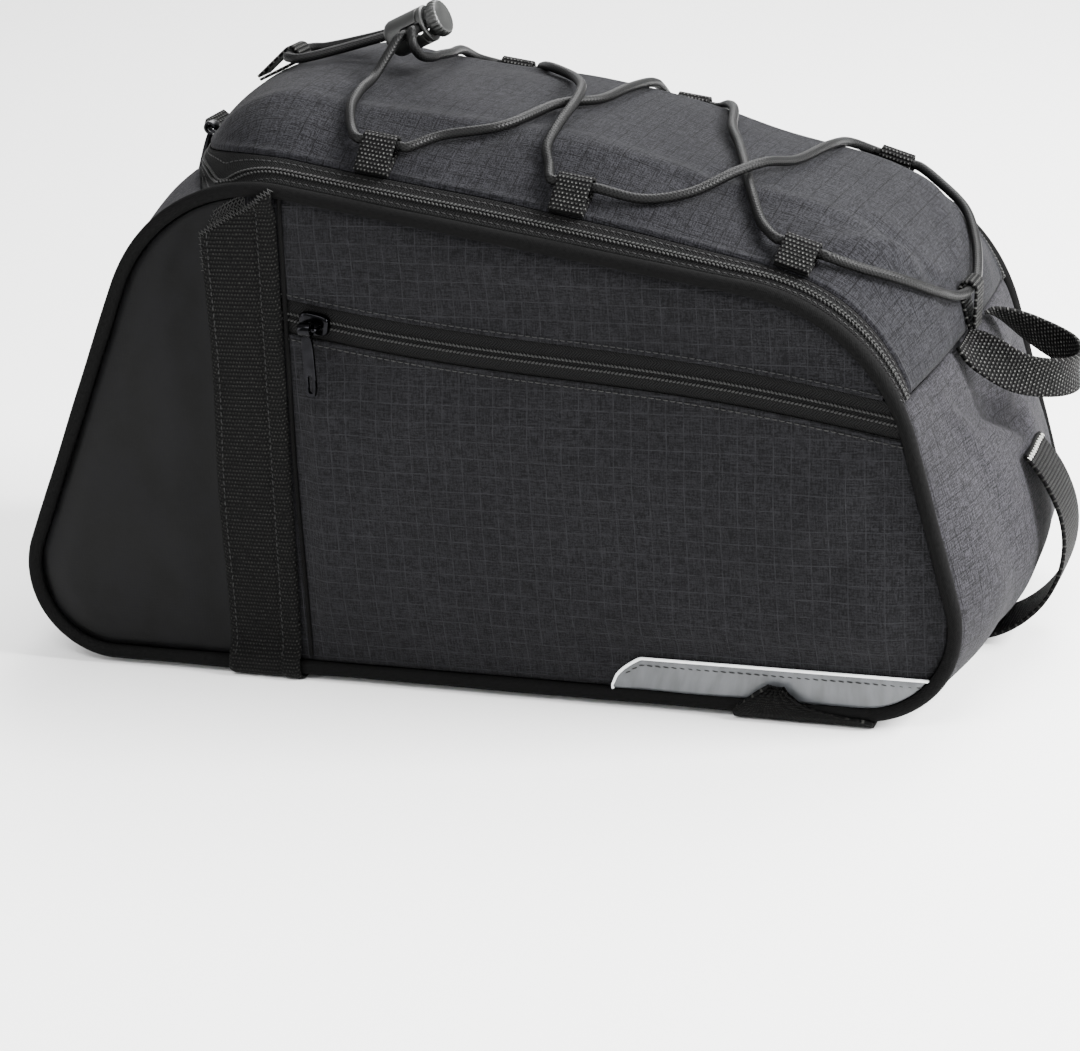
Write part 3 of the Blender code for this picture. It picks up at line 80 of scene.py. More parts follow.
camera_data = bpy.data.cameras.new("camera")
camera_data.lens = 95.417
camera_data.sensor_width = 36
camera_data.clip_start = 0.05
camera_data.clip_end = 50
camera = in_scene("camera", camera_data)
camera_right = Vector((0.9345146, 0.3498068, -0.06570887))
camera_up = Vector((-0.06025877, 0.33744504, 0.93941457))
camera_back = Vector((0.35078674, -0.8739371, 0.33642624))
turn = Matrix((camera_right, camera_up, camera_back)).transposed().to_4x4()
camera.matrix_world = Matrix.Translation((0.40129, -1.01063, 0.42497)) @ turn
bpy.context.scene.camera = camera
print("lens", camera_data.lens, "mm")

# %% [markdown]
# ## Light and floor
# Black cloth shows its form only by soft reflections, so the light is large and even. A bright world fills
# the shadows. The key stands off the bag's rear end and lights the wall there, a soft box high behind the
# bag draws the dome of the lid, and a tall narrow one at the left draws the coated corner. Two more lie
# over the floor, in front of the bag and behind it, and keep the ground pale.

# %% Light and floor
world = bpy.data.worlds.new("studio")
world.use_nodes = True
world.node_tree.nodes["Background"].inputs["Color"].default_value = (0.98, 0.985, 1.0, 1.0)
world.node_tree.nodes["Background"].inputs["Strength"].default_value = 0.8
bpy.context.scene.world = world


def soft_box(name, place, target, size, power):
    """A rectangular lamp at place that faces target."""
    lamp = bpy.data.lights.new(name, "AREA")
    lamp.shape = "RECTANGLE"
    lamp.size, lamp.size_y = size
    lamp.energy = power
    made = in_scene(name, lamp)
    made.location = place
    made.rotation_euler = (Vector(target) - Vector(place)).to_track_quat("-Z", "Y").to_euler()
    return made


MIDDLE = (0.0, 0.0, 0.1)
soft_box("key", (1.35, 0.05, 0.95), MIDDLE, (0.75, 0.75), 140)
soft_box("top", (0.35, 0.75, 1.5), MIDDLE, (1.2, 0.8), 30)
soft_box("left", (-1.0, -1.1, 0.55), (-0.15, -0.05, 0.1), (0.3, 0.9), 8)
soft_box("floor", (0.0, -1.3, 1.6), (0.0, -0.4, 0.0), (1.4, 0.5), 34)
soft_box("backdrop", (-0.3, 1.7, 1.6), (-0.5, 1.3, 0.0), (2.4, 1.0), 70)

floor_data = bpy.data.meshes.new("floor")
floor_data.from_pydata([(-6, -6, 0), (6, -6, 0), (6, 6, 0), (-6, 6, 0)], [], [(0, 1, 2, 3)])
floor = in_scene("floor", floor_data)
floor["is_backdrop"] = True
print("lamps", len(bpy.data.lights))

# %% [markdown]
# ## Tools for finishes
# A finish is a graph of nodes. Colours are written as on a screen and turned to linear light once. One
# function adds a node with its settings and links, and the patterns are built from it in real millimetres
# on the cloth's own map.

# %% Tools for finishes
MM = 0.001


def linear(hex_colour):
    """Screen colour to linear light: c / 12.92 near black, else ((c + 0.055) / 1.055) to the power 2.4."""
    c = np.array([int(hex_colour[i : i + 2], 16) / 255 for i in (1, 3, 5)])
    c = np.where(c <= 0.04045, c / 12.92, ((c + 0.055) / 1.055) ** 2.4)
    return (*c.tolist(), 1.0)


def add(material, kind, inputs=None, out=0, **settings):
    """One node with its settings, of which an output is given back. Each input is a value or another node's
    output, which is then linked."""
    made = material.node_tree.nodes.new(kind)
    for key, value in settings.items():
        setattr(made, key, value)
    for socket, value in (inputs or {}).items():
        if isinstance(value, bpy.types.NodeSocket):
            material.node_tree.links.new(value, made.inputs[socket])
        else:
            made.inputs[socket].default_value = value
    return made.outputs[out]


def new_finish(name, colour, roughness, sockets=None):
    """A material whose constant numbers sit on its shader's own sockets."""
    material = bpy.data.materials.new(name)
    material.use_nodes = True
    material.diffuse_color = linear(colour)
    shader = material.node_tree.nodes["Principled BSDF"]
    shader.inputs["Base Color"].default_value = linear(colour)
    shader.inputs["Roughness"].default_value = roughness
    for socket, value in (sockets or {}).items():
        shader.inputs[socket].default_value = value
    return material


def cloth_map(material):
    """The piece's own map, in metres, and its two directions."""
    spot = add(material, "ShaderNodeUVMap", uv_map="cloth")
    u, v = (add(material, "ShaderNodeSeparateXYZ", {0: spot}, out=way) for way in (0, 1))
    return spot, u, v


def waves(material, coordinate, pitch, shift=0.0):
    """A wave from 0 to 1 and back, once each pitch."""
    turns = add(material, "ShaderNodeMath", {0: coordinate, 1: 1 / pitch, 2: shift}, operation="MULTIPLY_ADD")
    half = add(material, "ShaderNodeMath", {0: turns, 1: 0.5}, operation="PINGPONG")
    return add(material, "ShaderNodeMath", {0: half, 1: 2.0}, operation="MULTIPLY")


def grain(material, spot, size, detail=2.0):
    """Noise whose grains have this size along the two directions of the map, in metres."""
    scale = tuple(1 / length for length in size)
    scaled = add(material, "ShaderNodeMapping", {"Vector": spot, "Scale": scale})
    return add(material, "ShaderNodeTexNoise", {"Vector": scaled, "Scale": 1.0, "Detail": detail})


def rescaled(material, value, low, high, to_low=0.0, to_high=1.0, smooth=True):
    """A value's range from low to high, moved to another range."""
    kind = "SMOOTHSTEP" if smooth else "LINEAR"
    inputs = {"Value": value, "From Min": low, "From Max": high, "To Min": to_low, "To Max": to_high}
    return add(material, "ShaderNodeMapRange", inputs, interpolation_type=kind)


def blended(material, share, first, second):
    """A colour between two, each given as a hex value or as another node's output."""
    pair = [c if isinstance(c, bpy.types.NodeSocket) else linear(c) for c in (first, second)]
    return add(material, "ShaderNodeMix", {0: share, 6: pair[0], 7: pair[1]}, out=2, data_type="RGBA")


def finished(material, colour=None, roughness=None, height=None, depth=0.0002):
    """Links a finish's patterns to its shader: colour, roughness, and height as bump with its depth in
    metres."""
    shader = material.node_tree.nodes["Principled BSDF"]
    links = material.node_tree.links
    if colour is not None:
        links.new(colour, shader.inputs["Base Color"])
    if roughness is not None:
        links.new(roughness, shader.inputs["Roughness"])
    if height is not None:
        bump = add(material, "ShaderNodeBump", {"Height": height, "Strength": 1.0, "Distance": depth})
        links.new(bump, shader.inputs["Normal"])
    return material


FINISHES = {}

floor_paint = new_finish("matt_painted_board", "#f8f8f7", 0.9)
floor_data.materials.append(floor_paint)

# %% [markdown]
# ## Ripstop cloth
# The lid, the pocket and the end walls are woven polyester with a thicker thread every few millimetres,
# which gives a faint grid. Each yarn mixes darker and lighter fibres, so that the cloth looks speckled from
# near and soft grey from afar. The yarns here are drawn about twice as thick as real ones, because finer
# ones would vanish. The one cloth comes in three copies whose brightness is painted for the light on each
# part: lighter on the end walls, darker on the sides.

# %% Ripstop cloth
RIPSTOP_PITCH = 6.6 * MM
YARN = 0.85 * MM


def ripstop(name, dark, light, grid):
    """Matt woven polyester: speckled yarns in both directions, and a raised thread at each step of the
    grid."""
    fuzz = {"Sheen Weight": 0.015, "Sheen Roughness": 0.5, "Specular IOR Level": 0.07}
    m = new_finish(name, dark, 0.9, fuzz)
    spot, u, v = cloth_map(m)
    warp = grain(m, spot, (0.6 * MM, 5 * MM, 1))
    weft = grain(m, spot, (5 * MM, 0.6 * MM, 1))
    yarns = add(m, "ShaderNodeMath", {0: warp, 1: weft}, operation="ADD")
    speckle = grain(m, spot, (0.7 * MM, 0.7 * MM, 1), 1.0)
    mixed = add(m, "ShaderNodeMath", {0: yarns, 1: speckle}, operation="ADD")
    tone = rescaled(m, mixed, 1.18, 1.85)
    broad = rescaled(m, grain(m, spot, (60 * MM, 45 * MM, 1)), 0.3, 0.7)
    lines = [rescaled(m, waves(m, way, RIPSTOP_PITCH), 0.90, 0.99) for way in (u, v)]
    either = add(m, "ShaderNodeMath", {0: lines[0], 1: lines[1]}, operation="MAXIMUM")
    worn = rescaled(m, grain(m, spot, (4 * MM, 4 * MM, 1)), 0.35, 0.65, 0.4, 1.0)
    shown = add(m, "ShaderNodeMath", {0: either, 1: worn}, operation="MULTIPLY")
    yarn_colour = blended(m, tone, dark, light)
    shade = add(m, "ShaderNodeMath", {0: broad, 1: 0.25}, operation="MULTIPLY")
    toned = blended(m, shade, yarn_colour, dark)
    colour = blended(m, shown, toned, grid)
    cells = [waves(m, way, YARN) for way in (u, v)]
    woven = add(m, "ShaderNodeMath", {0: cells[0], 1: cells[1]}, operation="MULTIPLY")
    relief = add(m, "ShaderNodeMath", {0: woven, 1: 0.45, 2: tone}, operation="MULTIPLY_ADD")
    height = add(m, "ShaderNodeMath", {0: shown, 1: 0.6, 2: relief}, operation="MULTIPLY_ADD")
    return finished(m, colour, None, height, 0.00016)


# One ripstop in three copies, each painted to the light on its part: lighter on the end walls, where the key
# falls on the rear one, and darker on the sides
FINISHES["ripstop_lid"] = ripstop("woven_ripstop_polyester_lid", "#0c0c0e", "#232326", "#070708")
FINISHES["ripstop_wall_painted_lighter"] = ripstop("woven_ripstop_polyester_wall_painted_lighter", "#111112", "#2e2d31", "#0b0b0c")
FINISHES["ripstop_side_painted_darker"] = ripstop("woven_ripstop_polyester_side_painted_darker", "#0b0b0c", "#1d1d1f", "#212123")
print("finishes", len(FINISHES))

# %% [markdown]
# ## Other cloths, tapes and webbing
# Coated cloth is smooth with a broad, dim shine. The piping is wrapped in a thin twill. The zipper's tape
# is a knit with a herringbone look. Webbing is woven with heavy cross threads, so it shows rows of small
# knots. The reflector is a film of glass beads, and the cord has a braided cover.

# %% Coated cloth and piping twill
# A coating that fills the weave: smooth, with broad, dim highlights
m = new_finish("polyurethane_coated_cloth", "#0a0a0b", 0.5, {"Specular IOR Level": 0.07})
spot, u, v = cloth_map(m)
threads = [waves(m, way, 1.3 * MM) for way in (u, v)]
imprint = add(m, "ShaderNodeMath", {0: threads[0], 1: threads[1]}, operation="ADD")
cloudy = grain(m, spot, (14 * MM, 22 * MM, 1), 3.0)
fine = grain(m, spot, (0.5 * MM, 0.5 * MM, 1))
relief = add(m, "ShaderNodeMath", {0: imprint, 1: 0.25, 2: fine}, operation="MULTIPLY_ADD")
colour = blended(m, rescaled(m, cloudy, 0.3, 0.7), "#050505", "#0a0a0b")
FINISHES["coated"] = finished(m, colour, rescaled(m, cloudy, 0.3, 0.7, 0.38, 0.5), relief, 0.00006)

# Thin twill: matt, with fine slanted lines
m = new_finish("piping_twill", "#101010", 0.85, {"Specular IOR Level": 0.04})
spot, u, v = cloth_map(m)
slant = add(m, "ShaderNodeMath", {0: u, 1: v}, operation="ADD")
twill = waves(m, slant, 0.9 * MM)
speckle = grain(m, spot, (0.5 * MM, 1.6 * MM, 1))
both = add(m, "ShaderNodeMath", {0: twill, 1: 0.4, 2: speckle}, operation="MULTIPLY_ADD")
colour = blended(m, rescaled(m, both, 0.3, 1.0), "#040404", "#0e0e0e")
FINISHES["piping"] = finished(m, colour, None, both, 0.00014)

# Plain padded polyester: matt, and seen only at the base
m = new_finish("padded_polyester_lining", "#111112", 0.9, {"Specular IOR Level": 0.1})
spot = cloth_map(m)[0]
speckle = grain(m, spot, (0.9 * MM, 0.9 * MM, 1))
colour = blended(m, rescaled(m, speckle, 0.3, 0.7), "#0c0c0d", "#19191b")
FINISHES["padded"] = finished(m, colour, None, speckle, 0.0001)

# %% Zipper tape and webbing
# Knitted tape: matt, with slanted stitches that meet in a herringbone
m = new_finish("zipper_knit_tape", "#101010", 0.85, {"Specular IOR Level": 0.06})
spot, u, v = cloth_map(m)
side = add(m, "ShaderNodeMath", {0: u, 1: 1.9 * MM}, operation="PINGPONG")
slant = add(m, "ShaderNodeMath", {0: side, 1: v}, operation="ADD")
knit = waves(m, slant, 1.15 * MM)
speckle = grain(m, spot, (0.5 * MM, 0.5 * MM, 1))
both = add(m, "ShaderNodeMath", {0: knit, 1: 0.7, 2: speckle}, operation="MULTIPLY_ADD")
colour = blended(m, rescaled(m, both, 0.35, 1.15), "#040404", "#171717")
FINISHES["zipper_tape"] = finished(m, colour, None, both, 0.0003)


def webbing(name, dark, light, rib, knot):
    """Heavy narrow weave: a rib for each cross thread, broken into knots that step by half in the next
    rib. Its colour has painted light on the tops of the ribs and knots and painted shade between them."""
    m = new_finish(name, dark, 0.72, {"Specular IOR Level": 0.08})
    spot, u, v = cloth_map(m)
    row = add(m, "ShaderNodeMath", {0: v, 1: rib}, operation="DIVIDE")
    whole = add(m, "ShaderNodeMath", {0: row}, operation="FLOOR")
    shift = add(m, "ShaderNodeMath", {0: whole, 1: 0.5}, operation="MULTIPLY")
    ribs = rescaled(m, waves(m, v, rib), 0.1, 0.8)
    knots = waves(m, u, knot, shift)
    knotted = add(m, "ShaderNodeMath", {0: knots, 1: 0.7, 2: 0.3}, operation="MULTIPLY_ADD")
    height = add(m, "ShaderNodeMath", {0: ribs, 1: knotted}, operation="MULTIPLY")
    speckle = grain(m, spot, (0.8 * MM, 0.8 * MM, 1))
    # Painted light and shade: lighter on the tops of the ribs and knots, darker between them, times a random
    # speckle
    ribs_painted_light_and_speckle = add(m, "ShaderNodeMath", {0: height, 1: speckle}, operation="MULTIPLY")
    colour = blended(m, rescaled(m, ribs_painted_light_and_speckle, 0.2, 0.75), dark, light)
    return finished(m, colour, None, height, 0.0006)


FINISHES["webbing"] = webbing("nylon_webbing", "#010101", "#2e2e2c", 1.55 * MM, 1.3 * MM)
FINISHES["loop_webbing"] = webbing("fine_nylon_webbing", "#030303", "#5a5a58", 1.5 * MM, 1.5 * MM)

# %% Reflector, thread, cord, plastic and metal
# Glass beads in a film: an even grey that is never quite dark
m = new_finish("glass_bead_reflective_film", "#85888c", 0.42, {"Specular IOR Level": 0.6})
spot = cloth_map(m)[0]
beads = grain(m, spot, (0.5 * MM, 0.5 * MM, 1))
smear = grain(m, spot, (18 * MM, 5 * MM, 1), 3.0)
colour = blended(m, rescaled(m, smear, 0.3, 0.7), "#383a3c", "#484a4d")
FINISHES["reflector"] = finished(m, colour, None, beads, 0.00004)

# Extruded vinyl: white and smooth, with a small soft highlight
m = new_finish("white_vinyl_edging", "#eef0f0", 0.4, {"Specular IOR Level": 0.5})
spot = cloth_map(m)[0]
FINISHES["edging"] = finished(m, blended(m, grain(m, spot, (3 * MM, 3 * MM, 1)), "#dfe2e2", "#f7f8f8"))

# Spun thread and moulded coil: twisted plies, dull, with a thin highlight along each bead
THREADS = (
    ("thread", "#0a0a0a", "#1c1c1c"),
    ("coil", "#070707", "#272726"),
    ("pale_thread", "#6c6c68", "#b8b8b2"),
)
for name, dark, light in THREADS:
    m = new_finish("polyester_" + name, dark, 0.6, {"Specular IOR Level": 0.3})
    _, u, v = cloth_map(m)
    twist = add(m, "ShaderNodeMath", {0: u, 1: v}, operation="ADD")
    plies = waves(m, twist, 0.45 * MM)
    FINISHES[name] = finished(m, blended(m, rescaled(m, plies, 0.0, 0.8), dark, light), None, plies, 0.00008)

# A braided cover over rubber: crossing strands in diamonds, smooth and faintly shiny
m = new_finish("braided_elastic_cord", "#0c0c0c", 0.42, {"Specular IOR Level": 0.1})
_, u, v = cloth_map(m)
right = add(m, "ShaderNodeMath", {0: v, 1: 1.0, 2: u}, operation="MULTIPLY_ADD")
left = add(m, "ShaderNodeMath", {0: v, 1: u}, operation="SUBTRACT")
strands = [waves(m, way, 1.49 * MM) for way in (right, left)]
braid = add(m, "ShaderNodeMath", {0: strands[0], 1: strands[1]}, operation="MAXIMUM")
colour = blended(m, rescaled(m, braid, 0.4, 1.0), "#060606", "#121212")
FINISHES["cord"] = finished(m, colour, None, braid, 0.0001)

# Moulded acetal: satin black, a little uneven in its shine
m = new_finish("moulded_black_acetal", "#161716", 0.42, {"Specular IOR Level": 0.5})
spot = add(m, "ShaderNodeTexCoord", out="Object")
haze = grain(m, spot, (6 * MM, 6 * MM, 6 * MM), 3.0)
pores = grain(m, spot, (0.35 * MM, 0.35 * MM, 0.35 * MM))
colour = blended(m, haze, "#0b0c0b", "#161715")
FINISHES["plastic"] = finished(m, colour, rescaled(m, haze, 0.3, 0.7, 0.36, 0.5), pores, 0.00003)

# Die cast zinc under black nickel: a dark metal with sharp, dim reflections
m = new_finish("black_nickel_die_cast_zinc", "#2b2b2d", 0.24, {"Metallic": 1.0})
spot = add(m, "ShaderNodeTexCoord", out="Object")
haze = grain(m, spot, (3 * MM, 3 * MM, 3 * MM), 3.0)
colour = blended(m, haze, "#0b0b0c", "#1f1f21")
FINISHES["metal"] = finished(m, colour, rescaled(m, haze, 0.3, 0.7, 0.12, 0.28))
print("finishes", sorted(FINISHES))

# %% [markdown]
# ## The outline of the sides
# Both side seams follow one closed outline of four lines and four arcs. A point of a wall between them is
# given by its distance s along that outline and its place y across the bag. Working in s and y keeps every
# wall, seam and loop on the same curve, so that the pieces meet.

# %% The outline of the sides
BASE_LENGTH = 0.400
BASE_CENTRE_X = -0.005
BAG_WIDTH = 0.176
FRONT_HEIGHT = 0.1977
REAR_HEIGHT = 0.150
FRONT_LEAN = 25.0
REAR_LEAN = 12.9
CORNER_RADII = (0.032, 0.068, 0.070, 0.036)
PIPING_RADIUS = 0.0027
BASE_DROP = 0.002
GAP = 0.0003
SEAM_GAP = 0.0007
WALL = 0.003
CLOTH = 0.0015
WEBBING = 0.0015
LOOP_WEBBING = 0.0011
SIDES = ((-1, "near"), (1, "far"))


def rounded_outline(corners, radii):
    """Rows of (length, start x, start z, heading, curvature): each line is shortened by radius times the
    tangent of half the turn, and each arc is as long as its radius times its turn."""
    corners = np.array(corners)
    ahead = corners - np.roll(corners, 1, axis=0)
    heads = np.arctan2(ahead[:, 1], ahead[:, 0])
    turns = (heads - np.roll(heads, -1)) % (2 * math.pi)
    cuts = radii * np.tan(turns / 2)
    along = np.stack([np.cos(heads), np.sin(heads)], axis=1)
    starts = np.roll(corners, 1, axis=0) + along * np.roll(cuts, 1)[:, None]
    ends = corners - along * cuts[:, None]
    lengths = np.linalg.norm(ends - starts, axis=1)
    lines = np.column_stack([lengths, starts, heads, np.zeros(4)])
    arcs = np.column_stack([radii * turns, ends, heads, -1 / radii])
    return np.stack([lines, arcs], axis=1).reshape(-1, 5)


BASE_Z = BASE_DROP + PIPING_RADIUS
half_base = BASE_LENGTH / 2
front_base = (BASE_CENTRE_X - half_base, BASE_Z)
rear_base = (BASE_CENTRE_X + half_base, BASE_Z)
front_top = (front_base[0] + FRONT_HEIGHT * math.tan(math.radians(FRONT_LEAN)), BASE_Z + FRONT_HEIGHT)
rear_top = (rear_base[0] - REAR_HEIGHT * math.tan(math.radians(REAR_LEAN)), BASE_Z + REAR_HEIGHT)
OUTLINE = rounded_outline([front_base, front_top, rear_top, rear_base], np.array(CORNER_RADII))
STARTS = np.concatenate([[0.0], np.cumsum(OUTLINE[:, 0])])
OUTLINE_LENGTH = STARTS[-1]


def outline_at(s):
    """Position (x, z) and outward normal (x, z) at distance s: on an arc the heading turns by curvature
    times run."""
    s = np.mod(np.asarray(s, float), OUTLINE_LENGTH)
    row = np.clip(np.searchsorted(STARTS, s, side="right") - 1, 0, len(OUTLINE) - 1)
    _, x, z, head, bend = np.moveaxis(OUTLINE[row], -1, 0)
    run = s - STARTS[row]
    head_now = head + bend * run
    straight = bend == 0
    safe = np.where(straight, 1.0, bend)
    dx = np.where(straight, run * np.cos(head), (np.sin(head_now) - np.sin(head)) / safe)
    dz = np.where(straight, run * np.sin(head), (np.cos(head) - np.cos(head_now)) / safe)
    return x + dx, z + dz, -np.sin(head_now), np.cos(head_now)


print("outline", round(OUTLINE_LENGTH, 4), "m round")

# %% [markdown]
# ## How far the walls puff out
# A filled bag is never flat: the end walls swell between their seams and the lid rises to a crest. Short
# tables hold these swellings as shares, and a smooth curve runs through each table. Folds are soft ridges
# and valleys.

# %% How far the walls puff out
EDGE_RISE = 0.001
FRONT_PUFF = 0.013
REAR_PUFF = 0.012
BASE_PUFF = 0.001
LID_CREST = 0.0305
LID_POWER = 3.4
LID_CORNER = 0.032
LID_FRONT_SEAM = 0.028
LID_FRONT_SWEEP = 0.026
LID_FRONT_BOW = 1.6
LID_REAR_SEAM = 0.0135
ZIP_BAND = 0.008
BASE_END = STARTS[1]
LID_START = STARTS[3] + LID_FRONT_SEAM
LID_END = STARTS[6] - LID_REAR_SEAM
LID_LENGTH = LID_END - LID_START
HALF_BAND = BAG_WIDTH / 2 - PIPING_RADIUS - GAP
# Columns: share of the wall's length, share of its puff
FRONT_PUFF_ROWS = ((0.0, 0.10), (0.2, 0.10), (0.40, 0.36), (0.60, 0.82), (0.82, 1.0), (1.0, 1.0))
REAR_PUFF_ROWS = ((0.0, 0.30), (0.14, 0.62), (0.34, 1.0), (0.55, 0.95), (0.78, 0.50), (1.0, 0.0))
# Columns: share of the lid's length from front seam to rear seam, share of its crest, share of the front
# puff
LID_ROWS = (
    (0.0, 0.80, 1.0), (0.066, 0.94, 0.62), (0.198, 0.93, 0.12), (0.338, 0.965, 0.0), (0.447, 1.0, 0.0),
    (0.515, 0.98, 0.0), (0.608, 0.88, 0.0), (0.690, 0.75, 0.0), (0.788, 0.65, 0.0), (0.852, 0.60, 0.02),
    (0.931, 0.38, 0.10), (1.0, 0.06, 0.30),
)
# Columns: wall, share along, share across the half width, half length and half width as shares of the bag's
# width, slant in degrees, depth as a share of the wall's puff or crest
FOLDS = (
    ("rear", 0.20, -0.02, 0.135, 0.042, 50.0, 0.42), ("rear", 0.30, 0.55, 0.120, 0.045, 35.0, 0.16),
    ("lid", 0.68, -0.42, 0.040, 0.030, 70.0, 0.06), ("lid", 0.88, -0.35, 0.110, 0.035, 20.0, 0.07),
    ("lid", 0.535, -0.80, 0.120, 0.070, 0.0, 0.07), ("lid", 0.535, 0.80, 0.120, 0.070, 0.0, 0.07),
    ("lid", 0.80, -0.80, 0.120, 0.070, 0.0, 0.12), ("lid", 0.80, 0.80, 0.120, 0.070, 0.0, 0.12),
    ("front", 0.72, 0.10, 0.160, 0.050, 15.0, 0.16),
)


def smooth_rows(at, places, values):
    """A smooth curve through rows of (place, value): cubic spans whose slopes are those of the rows."""
    places = np.asarray(places, float)
    values = np.asarray(values, float)
    slopes = np.gradient(values, places)
    at = np.clip(at, places[0], places[-1])
    row = np.clip(np.searchsorted(places, at, side="right") - 1, 0, len(places) - 2)
    step = places[row + 1] - places[row]
    t = (at - places[row]) / step
    bend = t * (1 - t) ** 2 * step * slopes[row] + t**2 * (t - 1) * step * slopes[row + 1]
    return (1 + 2 * t) * (1 - t) ** 2 * values[row] + t**2 * (3 - 2 * t) * values[row + 1] + bend


def fold(a, b, place, half_length, half_width, slant):
    """A soft ridge: the bell curve exp(-(run / half length)^2 - (off / half width)^2) on axes turned by
    slant."""
    angle = math.radians(slant)
    da, db = a - place[0], b - place[1]
    run = da * math.cos(angle) + db * math.sin(angle)
    off = db * math.cos(angle) - da * math.sin(angle)
    return np.exp(-((run / half_length) ** 2) - (off / half_width) ** 2)


def folds_of(wall, along, y, length):
    """Depth of a wall's folds, as a share."""
    depth = np.zeros(np.broadcast(along, y).shape)
    for name, at, across, half_length, half_width, slant, deep in FOLDS:
        if name == wall:
            place = (at * length, across * HALF_BAND)
            size = (half_length * BAG_WIDTH, half_width * BAG_WIDTH)
            depth += deep * fold(along * length, y, place, *size, slant)
    return depth


def belly(y, power=2.6):
    """Share of the puff across a wall: 1 less the distance from the middle to a power."""
    return 1 - np.minimum(np.abs(y) / HALF_BAND, 1) ** power


def front_height(s, y):
    """Height of the front wall over the outline: its edge's rise and its puff, less its folds."""
    length = LID_START - BASE_END
    along = (s - BASE_END) / length
    places, _, puffs = zip(*LID_ROWS)
    past = smooth_rows((s - LID_START) / LID_LENGTH, places, puffs)
    puff = np.where(s < LID_START, smooth_rows(along, *zip(*FRONT_PUFF_ROWS)), past)
    puff = puff - folds_of("front", along, y, length)
    return EDGE_RISE + BASE_PUFF * np.maximum(1 - along, 0) + FRONT_PUFF * puff * belly(y)


def rear_height(s, y):
    """Height of the rear wall over the outline."""
    length = OUTLINE_LENGTH - LID_END
    along = (s - LID_END) / length
    puff = smooth_rows(along, *zip(*REAR_PUFF_ROWS)) - folds_of("rear", along, y, length)
    return EDGE_RISE + BASE_PUFF * along + REAR_PUFF * puff * belly(y)


def front_seam(y):
    """Place of the zipper's front seam, which sweeps back as the distance from the middle to a power."""
    return LID_START + LID_FRONT_SWEEP * (np.abs(y) / HALF_BAND) ** LID_FRONT_BOW


def inside_lid(s, y):
    """Distance in plan from the lid's outer edge, with rounded front corners."""
    ahead = s - front_seam(y)
    aside = HALF_BAND - np.abs(y)
    corner = LID_CORNER - np.hypot(np.maximum(LID_CORNER - ahead, 0), np.maximum(LID_CORNER - aside, 0))
    return np.where((ahead < LID_CORNER) & (aside < LID_CORNER), corner, np.minimum(ahead, aside))


def lid_height(s, y):
    """Height of the lid and its zipper over the outline: the crest times 1 - (1 - inward share) to a
    power."""
    places, crests, puffs = zip(*LID_ROWS)
    along = (s - LID_START) / LID_LENGTH
    inward = np.clip(inside_lid(s, y) / HALF_BAND, 0, 1)
    rise = 1 - (1 - inward) ** LID_POWER
    crest = smooth_rows(along, places, crests) - folds_of("lid", along, y, LID_LENGTH)
    return EDGE_RISE + FRONT_PUFF * smooth_rows(along, places, puffs) * belly(y) + LID_CREST * crest * rise


def band_point(height, s, y, off=0.0):
    """Points of a wall: the outline's point plus its normal times the height."""
    s, y = np.broadcast_arrays(np.asarray(s, float), np.asarray(y, float))
    x, z, nx, nz = outline_at(s)
    up = height(s, y) + off
    return np.stack([x + nx * up, y, z + nz * up], axis=-1)


def unit(vectors):
    """Vectors made one long: each over the root of the sum of its squares."""
    return vectors / np.linalg.norm(vectors, axis=-1, keepdims=True)


def out_of(height, s, y):
    """The direction out of a wall at one place: the cross product of its slopes along and across the
    outline."""
    step = 0.0005
    along = band_point(height, s + step, y) - band_point(height, s - step, y)
    across = band_point(height, s, y + step) - band_point(height, s, y - step)
    out = unit(np.cross(along, across))
    _, _, nx, nz = outline_at(s)
    return out if out[0] * nx + out[2] * nz >= 0 else -out


def place_on_top(x):
    """Distance along the outline of the point of its upper part that has this x."""
    s = np.linspace(STARTS[3], STARTS[6], 400)
    return float(np.interp(x, outline_at(s)[0], s))


print("lid", round(LID_LENGTH, 4), "m long")

# %% [markdown]
# ## Tools for surfaces
# Every piece is a grid of points: rows by columns, each cell one face. Its map holds real distances along
# both directions, so that a weave keeps its scale on any piece. Relief is added along the surface's own
# normals.

# %% Tools for surfaces


def full_turn(count):
    """Angles once round, at even steps."""
    return np.linspace(0, 2 * math.pi, count, endpoint=False)


def drawn_out(wave, power):
    """A sine or cosine pushed towards its ends, as in a superellipse: its sign times its size to a
    power."""
    return np.sign(wave) * np.abs(wave) ** power


def cell_corners(grid):
    """The four corners of each cell of a grid, one way round."""
    return np.stack([grid[:-1, :-1], grid[1:, :-1], grid[1:, 1:], grid[:-1, 1:]], axis=2)


def face_out(mesh):
    """Turns the faces of a closed mesh outwards."""
    bm = bmesh.new()
    bm.from_mesh(mesh)
    bmesh.ops.recalc_face_normals(bm, faces=bm.faces)
    bm.to_mesh(mesh)
    bm.free()


def distances(points, around=False, ring=False):
    """A map in metres: sums of the mean steps across the columns and down the rows."""
    grid = np.concatenate([points, points[:1]]) if ring else points
    grid = np.concatenate([grid, grid[:, :1]], axis=1) if around else grid
    down = np.linalg.norm(np.diff(grid, axis=0), axis=2).mean(axis=1)
    across = np.linalg.norm(np.diff(grid, axis=1), axis=2).mean(axis=0)
    u = np.concatenate([[0], np.cumsum(across)])
    v = np.concatenate([[0], np.cumsum(down)])
    return np.stack(np.meshgrid(u, v), axis=-1)


